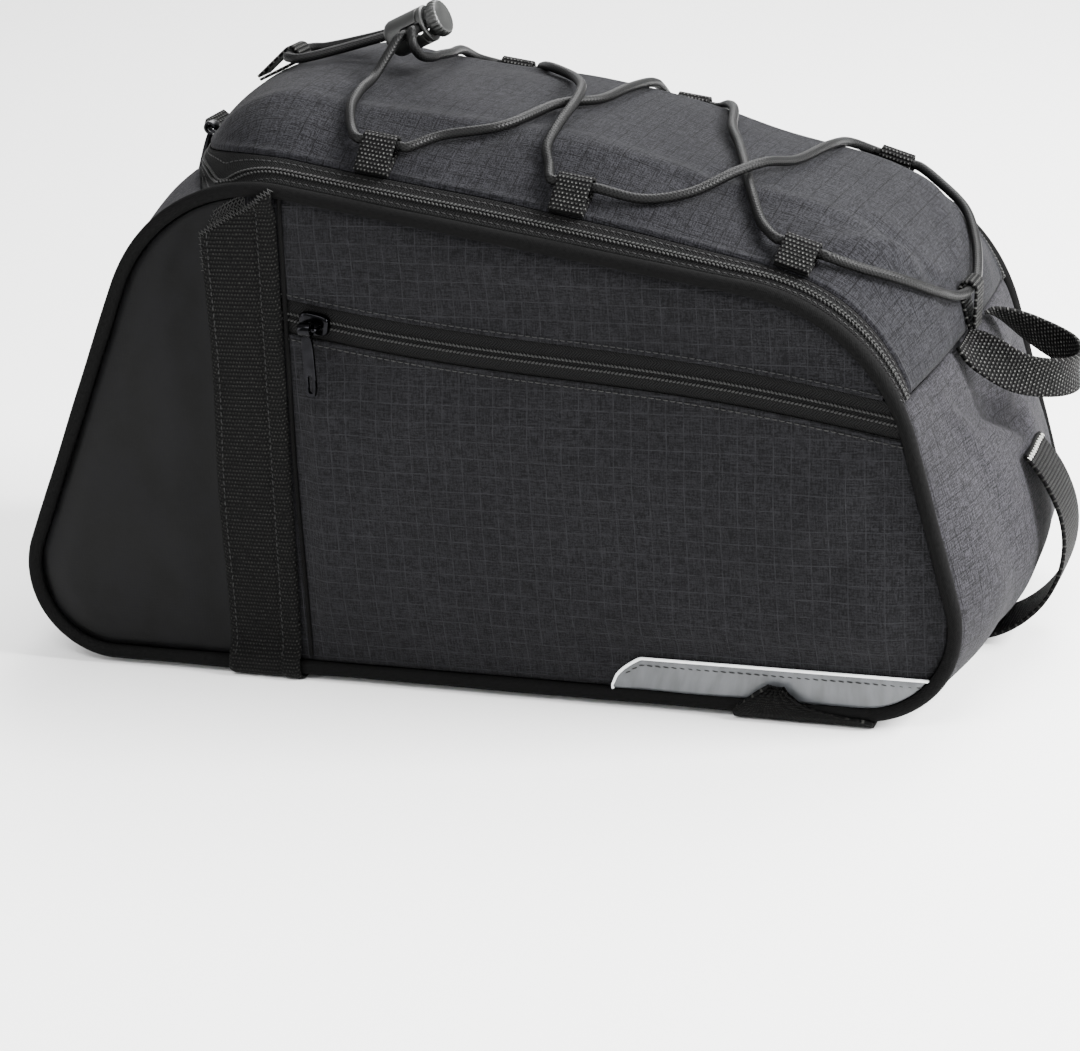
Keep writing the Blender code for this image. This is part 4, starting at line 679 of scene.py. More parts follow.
def skin(
    name, points, chart=None, around=False, ring=False, facing=None, thickness=0.0, offset=-1.0, weld=False
):
    """An object from a grid of points. Around joins the last column to the first, ring the last row to the
    first. The faces are turned to look along facing, or outwards where the surface is closed."""
    rows, columns = points.shape[:2]
    index = np.arange(rows * columns).reshape(rows, columns)
    index = np.vstack([index, index[:1]]) if ring else index
    index = np.hstack([index, index[:, :1]]) if around else index
    chart = distances(points, around, ring) if chart is None else chart
    faces = cell_corners(index).reshape(-1, 4)
    spots = cell_corners(chart).reshape(-1, 4, 2)
    corners = points.reshape(-1, 3)
    square = corners[faces]
    normals = np.cross(square[:, 2] - square[:, 0], square[:, 3] - square[:, 1])
    looks = square.mean(axis=1) - corners.mean(axis=0) if facing is None else np.array(facing, float)
    if (normals * looks).sum() < 0:
        faces, spots = faces[:, ::-1], spots[:, ::-1]
    mesh = bpy.data.meshes.new(name)
    mesh.from_pydata(corners.tolist(), [], faces.tolist())
    layer = mesh.uv_layers.new(name="cloth")
    layer.data.foreach_set("uv", spots.ravel())
    if weld:
        bm = bmesh.new()
        bm.from_mesh(mesh)
        bmesh.ops.remove_doubles(bm, verts=bm.verts, dist=2e-5)
        bmesh.ops.dissolve_degenerate(bm, edges=bm.edges, dist=1e-6)
        bm.to_mesh(mesh)
        bm.free()
    mesh.shade_smooth()
    piece = in_scene(name, mesh)
    if thickness:
        shell = piece.modifiers.new("thickness", "SOLIDIFY")
        shell.thickness = thickness
        shell.offset = offset
    return piece


def normals_of(points, facing):
    """Unit normals of a grid: the cross product of its two slopes, turned to facing."""
    normal = np.cross(np.gradient(points, axis=0), np.gradient(points, axis=1))
    normal = normal / np.maximum(np.linalg.norm(normal, axis=-1, keepdims=True), 1e-12)
    return normal if (normal * np.array(facing, float)).sum() >= 0 else -normal


def raised(points, off, facing):
    """The grid moved along its own normals by off."""
    return points + normals_of(points, facing) * np.asarray(off)[..., None]


def smooth_step(value):
    """0 below 0 and 1 above 1, with the curve 3t^2 - 2t^3 between."""
    t = np.clip(value, 0, 1)
    return t * t * (3 - 2 * t)


def ripples(a, b, wave, depth, seed):
    """Uneven cloth: the sum of seven sine waves in seeded directions, about one wave long each."""
    dice = np.random.default_rng(seed)
    total = np.zeros(np.broadcast(a, b).shape)
    for _ in range(7):
        angle, phase = dice.uniform(0, 2 * math.pi, 2)
        size = wave * dice.uniform(0.6, 1.5)
        total += np.sin((a * math.cos(angle) + b * math.sin(angle)) * 2 * math.pi / size + phase)
    return depth * total / 7


def dress(piece, finish, nodes=(), body="bag"):
    """Gives a piece its finish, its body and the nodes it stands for."""
    piece.data.materials.append(FINISHES[finish])
    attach(piece, body)
    if nodes:
        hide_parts(*nodes)
    return piece


def lengths_of(path):
    """Distance along a path to each of its points."""
    return np.concatenate([[0], np.cumsum(np.linalg.norm(np.diff(path, axis=0), axis=1))])


def even(path, pitch, *others):
    """The path's points at even steps, with other rows of values taken at the same places."""
    run = lengths_of(path)
    count = max(2, int(round(run[-1] / pitch)) + 1)
    at = np.linspace(0, run[-1], count)
    return [np.stack([np.interp(at, run, column) for column in rows.T], axis=1) for rows in (path, *others)]


def stitch_row(name, path, outs, bead, finish, slant=0.0, zigzag=0.0):
    """A row of thread as one mesh. Bead is its step, length and radius in millimetres, and each arches over
    the cloth as a grid of rings: centre + head * t * half length + out * arch, with a radius of sqrt(1 -
    t^4)."""
    pitch, length, radius = (size * MM for size in bead)
    places, outs = even(path, pitch, outs)
    heads = unit(np.gradient(places, axis=0))
    outs = unit(outs)
    sides = np.cross(heads, outs)
    swing = math.radians(slant) + math.radians(zigzag) * (-1.0) ** np.arange(len(places))
    heads, sides = (
        heads * np.cos(swing)[:, None] + sides * np.sin(swing)[:, None],
        sides * np.cos(swing)[:, None] - heads * np.sin(swing)[:, None],
    )
    t = np.array([-1.0, -0.85, -0.4, 0.4, 0.85, 1.0])
    girth = np.sqrt(np.maximum(1 - t**4, 0.004)) * radius
    angle = full_turn(6)
    centre = places[:, None] + heads[:, None] * (t * length / 2)[None, :, None]
    centre = centre + outs[:, None] * (radius * (0.6 - t**2))[None, :, None]
    across = sides[:, None] * np.cos(angle)[None, :, None] + outs[:, None] * np.sin(angle)[None, :, None]
    points = centre[:, :, None] + across[:, None] * girth[None, :, None, None]
    count, rings, around = points.shape[:3]
    index = np.arange(count * rings * around).reshape(count, rings, around)
    wrapped = np.concatenate([index, index[..., :1]], axis=2)
    corners = [wrapped[:, :-1, :-1], wrapped[:, :-1, 1:], wrapped[:, 1:, 1:], wrapped[:, 1:, :-1]]
    tubes = np.stack(corners, axis=-1)
    caps = [*index[:, 0, ::-1].tolist(), *index[:, -1].tolist()]
    mesh = bpy.data.meshes.new(name)
    mesh.from_pydata(points.reshape(-1, 3).tolist(), [], tubes.reshape(-1, 4).tolist() + caps)
    corner = np.zeros(len(mesh.loops), int)
    mesh.loops.foreach_get("vertex_index", corner)
    girths = np.tile(angle * radius, count * rings)
    runs = np.tile(np.repeat(t * length / 2, around), count)
    chart = np.stack([girths, runs], axis=1)
    mesh.uv_layers.new(name="cloth").data.foreach_set("uv", chart[corner].ravel())
    face_out(mesh)
    mesh.shade_smooth()
    return dress(in_scene(name, mesh), finish)


def tube(name, path, radius, sides=12, ring=False, reference=(0.05, 0.02, 1.0)):
    """A round section carried along a path. An open one ends in round caps: radius * cos(t) at radius *
    sin(t)."""
    radius = np.broadcast_to(np.asarray(radius, float), len(path)).copy()
    if not ring:
        cap = np.linspace(math.pi / 2, 0, 5)[:-1]
        first, last = unit(path[1] - path[0]), unit(path[-1] - path[-2])
        head = path[0] - first * (radius[0] * np.sin(cap))[:, None]
        tail = path[-1] + last * (radius[-1] * np.sin(cap[::-1]))[:, None]
        radius = np.concatenate([radius[0] * np.cos(cap), radius, radius[-1] * np.cos(cap[::-1])])
        path = np.concatenate([head, path, tail])
    ahead = np.roll(path, -1, axis=0) - np.roll(path, 1, axis=0) if ring else np.gradient(path, axis=0)
    ahead = unit(ahead)
    side = unit(np.cross(ahead, np.array(reference, float)))
    up = np.cross(side, ahead)
    angle = full_turn(sides)
    round_it = side[:, None] * np.cos(angle)[None, :, None] + up[:, None] * np.sin(angle)[None, :, None]
    points = path[:, None] + round_it * radius[:, None, None]
    piece = skin(name, points, around=True, ring=ring, weld=not ring)
    face_out(piece.data)
    return piece


def sine_spread(start, end, count, reach=1.0):
    """Places from start to end that crowd towards both ends."""
    t = np.sin(np.linspace(-1, 1, count) * math.pi / 2 * reach) / math.sin(math.pi / 2 * reach)
    return start + (end - start) * (t + 1) / 2


# %% [markdown]
# ## End walls
# The front and rear walls are padded ripstop sewn to the piping at both sides. The rear one hangs from the
# lid's seam and is pulled into diagonal folds by the webbing there. Each is a grid in s and y with its
# folds added along the normals, and a solid wall behind it.

# %% End walls
END_WALL_ROWS = 90


def seam_dip(distance, depth, reach):
    """How a sewn edge is drawn in: depth times exp(-(distance / reach)^2)."""
    return -depth * np.exp(-((distance / reach) ** 2))


def end_wall(name, height, start, finish, columns, facing, relief):
    """A wall between two places of the outline. Finish may be a function of y."""
    y = sine_spread(-HALF_BAND, HALF_BAND, columns, 0.96)[None, :]
    stop = finish(y) if callable(finish) else finish
    s = start + (stop - start) * np.linspace(0, 1, END_WALL_ROWS)[:, None]
    s, y = np.broadcast_arrays(s, y)
    points = raised(band_point(height, s, y), relief(s, y), facing)
    chart = np.stack([y, s], axis=-1)
    piece = skin(name + "_cloth", points, chart, facing=facing, thickness=WALL)
    dress(piece, "ripstop_wall_painted_lighter", [name])
    return piece


# Columns: distance above the base seam or below the lid's seam, y, half length, half width, slant, height,
# in metres
FRONT_RELIEF = ((0.120, -0.030, 0.050, 0.012, 60.0, -0.0010), (0.155, 0.035, 0.040, 0.010, 110.0, -0.0009))
REAR_RELIEF = (
    (0.026, -0.020, 0.030, 0.0055, 62.0, -0.0048),
    (0.040, -0.002, 0.034, 0.0050, 58.0, 0.0026),
    (0.020, -0.046, 0.028, 0.0060, 25.0, 0.0016),
    (0.058, -0.040, 0.045, 0.0120, 15.0, -0.0016),
    (0.034, 0.030, 0.030, 0.0070, 120.0, -0.0029),
    (0.085, 0.045, 0.045, 0.0100, 150.0, -0.0019),
)


def relief_of(rows, along, y):
    """The sum of a table's ridges and valleys."""
    total = np.zeros(along.shape)
    for at, across, half_length, half_width, slant, depth in rows:
        total += depth * fold(along, y, (at, across), half_length, half_width, slant)
    return total


def front_relief(s, y):
    """Folds, uneven cloth and sewn edges of the front wall."""
    edge = HALF_BAND - np.abs(y)
    calm = smooth_step(edge / 0.012)
    top = np.maximum(front_seam(y) - s, 0)
    made = relief_of(FRONT_RELIEF, s - BASE_END, y) + ripples(s, y, 0.05, 0.0008, 3)
    made = made * calm * smooth_step(top / 0.01)
    return made + seam_dip(edge, 0.0006, 0.002) + seam_dip(top, 0.0005, 0.0015)


def rear_relief(s, y):
    """Folds, uneven cloth and sewn edges of the rear wall."""
    edge = HALF_BAND - np.abs(y)
    calm = smooth_step(edge / 0.012)
    made = relief_of(REAR_RELIEF, s - LID_END, y) + ripples(s, y, 0.045, 0.0008, 8)
    top = s - LID_END
    made = made * calm * smooth_step(top / 0.006)
    return made + seam_dip(edge, 0.0006, 0.002) + seam_dip(top, 0.0006, 0.002)


half_seam = SEAM_GAP / 2
end_wall(
    "front_gusset", front_height, BASE_END + half_seam, lambda y: front_seam(y) - half_seam, 71,
    (-1, 0, 0.2), front_relief,
)
end_wall(
    "rear_gusset", rear_height, LID_END + half_seam, OUTLINE_LENGTH - half_seam, 81,
    (1, 0, 0.2), rear_relief,
)
print("end walls made")

# %% [markdown]
# ## Lid and its zipper
# The lid is one curved sheet that rises steeply from its zipper and turns down over the rear corner. The
# zipper runs round three of its sides as a U of knitted tape. Both are grids on the same height, so that
# their seam is shared. The coil shows as two rows of slanted stitches, which are real small beads of thread
# here.

# %% Lid


def past_corner(y, share):
    """Place at a share of the way from the end of the lid's front corner to its rear seam."""
    return (front_seam(y) + LID_CORNER) * (1 - share) + (LID_END - SEAM_GAP / 2) * share


# Columns: distance from the lid's front seam, y, half length, half width, slant, height, in metres
LID_RELIEF = (
    (0.110, -0.046, 0.075, 0.0045, 4.0, 0.0017),
    (0.205, -0.043, 0.080, 0.0050, 7.0, 0.0019),
    (0.100, -0.058, 0.030, 0.0060, 15.0, -0.0014),
    (0.128, -0.050, 0.016, 0.0050, 60.0, -0.0019),
    (0.205, -0.056, 0.016, 0.0050, 70.0, -0.0017),
    (0.262, -0.050, 0.026, 0.0045, 50.0, 0.0018),
    (0.274, -0.034, 0.028, 0.0045, 62.0, 0.0017),
    (0.283, -0.058, 0.022, 0.0050, 40.0, -0.0014),
    (0.276, 0.030, 0.028, 0.0050, 120.0, 0.0014),
    (0.150, 0.046, 0.110, 0.0060, 0.0, 0.0014),
    (0.060, 0.010, 0.050, 0.0100, 30.0, -0.0011),
)


def lid_relief(s, y):
    """Folds, uneven cloth and the sewn edge of the lid."""
    inward = inside_lid(s, y) - ZIP_BAND
    rear = LID_END - s
    calm = smooth_step(inward / 0.010) * smooth_step(rear / 0.006)
    made = relief_of(LID_RELIEF, s - LID_START, y) + ripples(s, y, 0.055, 0.0011, 21)
    welt = 0.0007 * np.exp(-(((inward - 0.0016) / 0.0011) ** 2))
    return made * calm + welt + seam_dip(inward, 0.0007, 0.0010) + seam_dip(rear, 0.0008, 0.0018)


edge = ZIP_BAND + SEAM_GAP / 2
radius = LID_CORNER - edge
across = sine_spread(-1, 1, 95, 0.95)
turns = np.linspace(0, math.pi / 2, 20)[:, None]
corner_y = across[None, :] * (HALF_BAND - LID_CORNER + radius * np.sin(turns))
corner_s = front_seam(corner_y) + LID_CORNER - radius * np.cos(turns)
straight_y = np.broadcast_to(across * (HALF_BAND - edge), (120, 95))
straight_s = past_corner(straight_y, np.linspace(0, 1, 121)[1:, None])
lid_s = np.concatenate([corner_s, straight_s])
lid_y = np.concatenate([corner_y, straight_y])
lid_points = raised(band_point(lid_height, lid_s, lid_y), lid_relief(lid_s, lid_y), (0.3, 0, 1))
rows = np.linalg.norm(np.diff(lid_points, axis=1), axis=2)
arc = np.concatenate([np.zeros((len(rows), 1)), np.cumsum(rows, axis=1)], axis=1)
arc = arc - arc[:, 47:48]
lid = skin("lid_cloth", lid_points, np.stack([arc, lid_s], axis=-1), facing=(0.3, 0, 1), thickness=WALL)
dress(lid, "ripstop_lid", ["lid"])
print("lid", lid_points.shape)

# %% Zipper band


def band_half():
    """Outer and inner edges of the band's near half in s and y, from the rear seam to the middle of the
    front."""
    share = np.linspace(1, 0, 110)[:-1]
    inner_y = ZIP_BAND - HALF_BAND
    outer = [np.stack([past_corner(-HALF_BAND, share), np.full(share.shape, -HALF_BAND)], axis=1)]
    inner = [np.stack([past_corner(inner_y, share), np.full(share.shape, inner_y)], axis=1)]
    turn = np.linspace(0, math.pi / 2, 40)
    ahead = LID_CORNER * np.maximum(1 - np.tan(np.minimum(turn, 1.5)), 0)
    aside = LID_CORNER * np.maximum(1 - np.tan(np.minimum(math.pi / 2 - turn, 1.5)), 0)
    y = aside - HALF_BAND
    outer.append(np.stack([front_seam(y) + np.maximum(ahead, SEAM_GAP / 2), y], axis=1))
    small = LID_CORNER - ZIP_BAND
    y = LID_CORNER - small * np.cos(turn) - HALF_BAND
    inner.append(np.stack([front_seam(y) + LID_CORNER - small * np.sin(turn), y], axis=1))
    y = np.linspace(LID_CORNER - HALF_BAND, 0, 40)[1:]
    outer.append(np.stack([front_seam(y) + SEAM_GAP / 2, y], axis=1))
    inner.append(np.stack([front_seam(y) + ZIP_BAND, y], axis=1))
    return np.concatenate(outer), np.concatenate(inner)


def mirrored(rows):
    """A near half followed by its far half, with y turned over."""
    return np.concatenate([rows, rows[-2::-1] * [1, -1, 1][: rows.shape[-1]]])


outer, inner = (mirrored(rows) for rows in band_half())
share = np.linspace(0, 1, 19)
spots = outer[:, None] * (1 - share)[None, :, None] + inner[:, None] * share[None, :, None]
flat_band = band_point(lid_height, spots[..., 0], spots[..., 1])
# Across the band: a folded edge at the outer seam, two flat tapes, a low mound where the coil is, the lid's
# edge
profile = 0.0007 * np.exp(-(((share - 0.10) / 0.05) ** 2)) + 0.0006 * np.exp(-(((share - 0.5) / 0.10) ** 2))
profile = profile - 0.0005 * np.exp(-(((share - 0.5) / 0.02) ** 2)) - 0.0006 * np.exp(-((share / 0.04) ** 2))
band_points = raised(flat_band, np.broadcast_to(profile, flat_band.shape[:2]), (0, 0, 1))
band = skin("zipper_band_tape", band_points, facing=(0, 0, 1), thickness=WALL)
dress(band, "zipper_tape", ["zipper_band"])
band_out = normals_of(band_points, (0, 0, 1))
# Columns: name, column of the band's grid, bead, finish, slant in degrees
LID_THREADS = (
    ("lid_coil_outer", 8, (1.55, 1.7, 0.42), "coil", 32.0),
    ("lid_coil_inner", 10, (1.55, 1.7, 0.42), "coil", -32.0),
    ("lid_topstitch_outer", 4, (2.6, 2.0, 0.26), "thread", 0.0),
    ("lid_topstitch_inner", 15, (2.6, 2.0, 0.26), "thread", 0.0),
)
for name, column, bead, finish, slant in LID_THREADS:
    stitch_row(name, band_points[:, column], band_out[:, column], bead, finish, slant)
print("zipper band", band_points.shape)

# %% [markdown]
# ## Sides
# A side is a padded wall with layers of cloth on it: coated cloth in front of the strap, and behind it the
# zipped pocket on the near side. Each layer is cut to a region of the side. Its grid runs in rings from the
# region's edge to a line inside it, and its height over the wall depends only on the distance from its
# edges, the strap and the reflector, so that it lies flat where something crosses it and swells elsewhere.

# %% Regions of a side
STRAP_WIDTH = 0.031
STRAP_TOP_X = -0.079
STRAP_BASE_X = -0.087
STRAP_CUT = 0.018
POCKET_ZIP_FRONT_Z = 0.1495
POCKET_ZIP_REAR_Z = 0.1165
POCKET_ZIP_WIDTH = 0.0135
POCKET_PUFF = 0.0048
PANEL_PUFF = 0.002
REFLECTOR_HEIGHT = 0.0125
REFLECTOR_FRONT_X = 0.056
REFLECTOR_THICK = 0.0008


def strap_middle(z):
    """x of the strap's centre line at a height."""
    return STRAP_BASE_X + (STRAP_TOP_X - STRAP_BASE_X) * (z - BASE_Z) / FRONT_HEIGHT


def zip_line(x, side=0.0):
    """Height of the pocket zipper at x: a line with a slow wave. Side is -1 at its lower edge, 1 at its
    upper."""
    front = strap_middle(POCKET_ZIP_FRONT_Z)
    share = (x - front) / (outline_at(LID_END)[0] - front)
    sag = 0.002 * np.sin(np.clip(share, 0, 1) * 2 * math.pi)
    middle = POCKET_ZIP_FRONT_Z + (POCKET_ZIP_REAR_Z - POCKET_ZIP_FRONT_Z) * share - sag
    return middle + side * (POCKET_ZIP_WIDTH / 2 + GAP / 2)


def rim(start, end, inset=PIPING_RADIUS + GAP, pitch=0.0012):
    """Points (x, z) of the side's edge between two places of the outline."""
    s = np.linspace(start, end, max(2, int((end - start) / pitch)))
    x, z, nx, nz = outline_at(s)
    return np.stack([x - nx * inset, z - nz * inset], axis=1)


def crossing(test, start, end):
    """Place of the outline between start and end where a test changes its sign."""
    s = np.linspace(start, end, 4000)
    edge = rim(start, end, pitch=(end - start) / 4000)
    value = test(edge[:, 0], edge[:, 1])
    at = np.argmax(np.sign(value[1:]) != np.sign(value[:-1]))
    return s[at]


at_base = crossing(lambda x, z: x - strap_middle(z), 0.0, STARTS[1])
at_top = crossing(lambda x, z: x - strap_middle(z), STARTS[3], STARTS[5])
at_upper = crossing(lambda x, z: z - zip_line(x, 1), STARTS[5], STARTS[7])
at_lower = crossing(lambda x, z: z - zip_line(x, -1), STARTS[5], STARTS[7])


def strap_edge(low, high, off=GAP / 2):
    """The line down the middle of the strap between two heights."""
    z = np.linspace(high, low, max(2, int((high - low) / 0.0012)))
    return np.stack([strap_middle(z) + off, z], axis=1)


def zip_edge(side):
    """An edge of the pocket zipper, from the strap to the rear."""
    start = strap_middle(POCKET_ZIP_FRONT_Z) + GAP / 2
    stop = rim(at_upper if side > 0 else at_lower, LID_END + 1)[0, 0]
    x = np.linspace(start, stop, 220)
    return np.stack([x, zip_line(x, side)], axis=1)


def closed(first, *others):
    """A region's outline from its edges in turn, where each later one gives up its two end points."""
    return np.concatenate([first, *(line[1:-1] for line in others)])


top_z = rim(at_top, at_top + 1)[0, 1]
base_z = rim(at_base, at_base + 1)[0, 1]
upper_z, lower_z = zip_edge(1)[0, 1], zip_edge(-1)[0, 1]
round_again = OUTLINE_LENGTH + at_base
REGIONS = {
    "coated": closed(rim(at_base, at_top), strap_edge(base_z, top_z, -GAP / 2)),
    "upper": closed(rim(at_top, at_upper), zip_edge(1)[::-1], strap_edge(upper_z, top_z)[::-1]),
    "pocket": closed(rim(at_lower, round_again), strap_edge(base_z, lower_z)[::-1], zip_edge(-1)),
    "far": closed(rim(at_top, round_again), strap_edge(base_z, top_z)[::-1]),
}
for name, region in REGIONS.items():
    print(name, "region", len(region), "points")

# %% Grids inside a region


def rings(region, shares, pitch=0.0015):
    """Rings from a region's edge to the line along its middle: edge + (nearest point of the line - edge) *
    share."""
    edge = even(np.concatenate([region, region[:1]]), pitch)[0][:-1]
    middle = edge.mean(axis=0)
    _, axes = np.linalg.eigh(np.cov((edge - middle).T))
    run, cross = (edge - middle) @ axes[:, 1], (edge - middle) @ axes[:, 0]
    half = max(np.ptp(run) - 1.05 * np.ptp(cross), 0.0) / 2
    centre = middle + axes[:, 1] * (run.max() + run.min()) / 2
    # Both sides end on the same points of the middle line, 4 mm apart, so that the two halves join there
    step = half / max(round(half / 0.004), 1) if half > 0 else 1.0
    along = np.clip(np.round((edge - centre) @ axes[:, 1] / step) * step, -half, half)
    target = centre + along[:, None] * axes[:, 1]
    return edge[None] + (target - edge)[None] * np.asarray(shares)[:, None, None], edge


def edge_distance(grid, edge):
    """Distance from each point of a grid to the nearest piece of an edge."""
    ahead = np.roll(edge, -1, axis=0) - edge
    squares = (ahead**2).sum(axis=1)
    flat = grid.reshape(-1, 2)
    near = np.full(len(flat), 1.0)
    for start in range(0, len(flat), 2000):
        part = flat[start : start + 2000]
        off = part[:, None] - edge[None]
        share = np.clip((off * ahead[None]).sum(axis=2) / squares, 0, 1)
        near[start : start + 2000] = np.linalg.norm(off - ahead[None] * share[..., None], axis=2).min(axis=1)
    return near.reshape(grid.shape[:2])


def beside_strap(x, z, reach=0.014):
    """0 under the strap and 1 clear of it."""
    return smooth_step((np.abs(x - strap_middle(z)) - STRAP_WIDTH / 2 - 0.001) / reach)


def above_reflector(x, z, reach=0.016):
    """0 behind the reflector and 1 clear of it."""
    above = smooth_step((z - BASE_Z - PIPING_RADIUS - REFLECTOR_HEIGHT) / reach)
    ahead = smooth_step((REFLECTOR_FRONT_X - x) / 0.02)
    return np.maximum(above, ahead)


def side_seam(distance):
    """The drawn-in seam at the edge of a layer."""
    return seam_dip(distance, 0.0009, 0.0018)


def side_cloth(name, region, side, relief, finish, node, count):
    """A layer of cloth on a side. Its height over the flat border is relief(x, z, distance from its
    edge)."""
    shares = np.concatenate([[0, 0.012, 0.03, 0.055], np.linspace(0.09, 1, count)])
    grid, edge = rings(region, shares)
    off = relief(grid[..., 0], grid[..., 1], edge_distance(grid, edge))
    y = side * (BAG_WIDTH / 2 + off)
    points = np.stack([grid[..., 0], y, grid[..., 1]], axis=-1)
    chart = np.concatenate([grid, grid[:, :1]], axis=1)
    piece = skin(name, points, chart, around=True, facing=(0, side, 0), thickness=CLOTH, weld=True)
    dress(piece, finish, [node])
    return piece


# %% Padded walls behind the cloth
for side, end in SIDES:
    grid, edge = rings(rim(0, OUTLINE_LENGTH, WALL - EDGE_RISE + GAP)[:-1], np.linspace(0, 1, 12), 0.004)
    x, z = grid[..., 0], grid[..., 1]
    face = BAG_WIDTH / 2 - CLOTH - 0.0005 - 0.0003 * smooth_step(edge_distance(grid, edge) / 0.01)
    points = np.stack([x, side * face, z], axis=-1)
    chart = np.concatenate([grid, grid[:, :1]], axis=1)
    name = "side_wall_" + end
    pad = skin(name + "_pad", points, chart, around=True, facing=(0, side, 0), thickness=WALL, weld=True)
    dress(pad, "padded", [name])

# %% Coated cloth in front of the strap
# Columns: x, z, half length, half width, slant, height, in metres
COATED_RELIEF = (
    (-0.118, 0.128, 0.020, 0.014, 70.0, 0.0007),
    (-0.120, 0.088, 0.024, 0.012, 20.0, -0.0006),
    (-0.125, 0.060, 0.022, 0.011, 10.0, 0.0005),
    (-0.130, 0.032, 0.030, 0.010, 5.0, -0.0007),
)


def coated_relief(x, z, d):
    """A low swell that fades at the strap, with a few broad dents and a drawn-in edge."""
    swell = PANEL_PUFF * smooth_step(d / 0.014) * beside_strap(x, z, 0.018)
    dents = relief_of(COATED_RELIEF, x, z)
    return swell + dents * smooth_step(d / 0.01) * beside_strap(x, z) + side_seam(d)


for side, end in SIDES:
    node = "coated_panel_" + end
    side_cloth(node + "_cloth", REGIONS["coated"], side, coated_relief, "coated", node, 26)

# %% Pocket, its zipper and the cloth above it
HEM_FRONT_X = -0.066


def zipper_hem(off, x):
    """The folded edge beside the pocket zipper: a low bell along it, which starts clear of the strap."""
    return 0.0006 * np.exp(-((off / 0.0022) ** 2)) * smooth_step((x - HEM_FRONT_X) / 0.004)


def upper_relief(x, z, d):
    """Cloth between the piping and the zipper: soft waves, a drawn-in seam, and a folded hem over the
    zipper."""
    over_zip = z - zip_line(x, 1)
    waves_here = ripples(x, z, 0.040, 0.0009, 5) + 0.0012 * fold(x, z, (0.02, 0.168), 0.09, 0.006, -8)
    sewn = side_seam(np.where(over_zip < 0.004, 1.0, d))
    return waves_here * smooth_step(d / 0.009) * beside_strap(x, z) + zipper_hem(over_zip, x) + sewn


# Columns: x, z, half length, half width, slant, height, in metres
POCKET_RELIEF = (
    (-0.040, 0.118, 0.030, 0.010, 80.0, -0.0016),
    (-0.022, 0.112, 0.034, 0.009, 70.0, 0.0008),
    (0.150, 0.070, 0.034, 0.006, 60.0, -0.0012),
    (0.138, 0.082, 0.034, 0.006, 55.0, 0.0009),
    (0.085, 0.102, 0.050, 0.008, -10.0, -0.0012),
    (0.160, 0.034, 0.030, 0.007, 75.0, 0.0008),
    (0.020, 0.048, 0.060, 0.016, 15.0, -0.0008),
)


def pocket_relief(x, z, d):
    """The pocket's swell, its folds, a hem under the zipper and a drawn-in seam at the piping."""
    under_zip = zip_line(x, -1) - z
    free = above_reflector(x, z) * beside_strap(x, z)
    made = relief_of(POCKET_RELIEF, x, z) + ripples(x, z, 0.045, 0.0009, 12)
    made = POCKET_PUFF * smooth_step(d / 0.030) + made * smooth_step(d / 0.012)
    sewn = side_seam(np.where(under_zip < 0.004, 1.0, d))
    return made * free + zipper_hem(under_zip, x) + sewn


def zipper_relief(x, z):
    """Two flat tapes below the hems, with a low mound for the coil and a slit in its middle."""
    off = z - zip_line(x)
    return -0.0007 + 0.0007 * np.exp(-((off / 0.0024) ** 2)) - 0.0005 * np.exp(-((off / 0.0005) ** 2))


def far_relief(x, z, d):
    """The hidden side's plain swell."""
    free = above_reflector(x, z) * beside_strap(x, z)
    made = PANEL_PUFF * smooth_step(d / 0.026) + ripples(x, z, 0.06, 0.0011, 30) * smooth_step(d / 0.014)
    return made * free + side_seam(d)


RIPSTOP_PANELS = (
    ("upper_panel_cloth", "upper", -1, upper_relief, "upper_panel_near", 18),
    ("pocket_panel_cloth", "pocket", -1, pocket_relief, "pocket_panel_near", 42),
    ("rear_panel_cloth", "far", 1, far_relief, "rear_panel_far", 30),
)
for name, region, side, relief, node, count in RIPSTOP_PANELS:
    side_cloth(name, REGIONS[region], side, relief, "ripstop_side_painted_darker", node, count)

# %% [markdown]
# ## Pocket zipper
# The pocket closes with a zipper between two hems. Its tape is one grid along the zipper's line, with a low
# mound for the coil and a slit in it. The coil and the rows of topstitching are beads of thread, because
# they are what catches the light there.

# %% Pocket zipper tape and its thread
share = np.linspace(-1, 1, 17)
x = np.linspace(strap_middle(POCKET_ZIP_FRONT_Z) + GAP, rim(at_lower, LID_END + 1)[0, 0], 200)[:, None]
z = zip_line(x) + share[None, :] * (POCKET_ZIP_WIDTH / 2 - GAP / 2)
x = np.broadcast_to(x, z.shape)
tape = np.stack([x, -(BAG_WIDTH / 2 + zipper_relief(x, z)), z], axis=-1)
piece = skin("pocket_zipper_tape", tape, facing=(0, -1, 0), thickness=CLOTH / 2)
dress(piece, "zipper_tape", ["pocket_zipper_near"])


def on_side(x, z, off, side=-1):
    """A path on a side, off the flat border."""
    return np.stack([x, np.broadcast_to(side * (BAG_WIDTH / 2 + off), x.shape), z], axis=-1)


def straight_out(path, side=-1):
    """The direction out of a side, once for each point of a path."""
    return np.broadcast_to([0.0, float(side), 0.0], path.shape)


run = x[:, 0]
for name, above, slant in (("upper", 0.00125, 32.0), ("lower", -0.00125, -32.0)):
    path = on_side(run, zip_line(run) + above, 0.0001)
    stitch_row(
        "pocket_coil_" + name, path, straight_out(path), (1.45, 1.6, 0.4), "coil", slant
    )
for name, edge, finish in (("upper", 1, "thread"), ("lower", -1, "coil")):
    path = on_side(run, zip_line(run, edge) + edge * 0.0017, 0.0006)
    stitch_row("pocket_topstitch_" + name, path, straight_out(path), (2.7, 2.1, 0.26), finish)
print("pocket zipper", tape.shape)

# %% [markdown]
# ## Reflector
# A strip of reflective film is sewn along the bottom of each side, behind the strap's half. Its top edge is
# bound in white vinyl that catches the light, and a row of dark stitches runs below it.

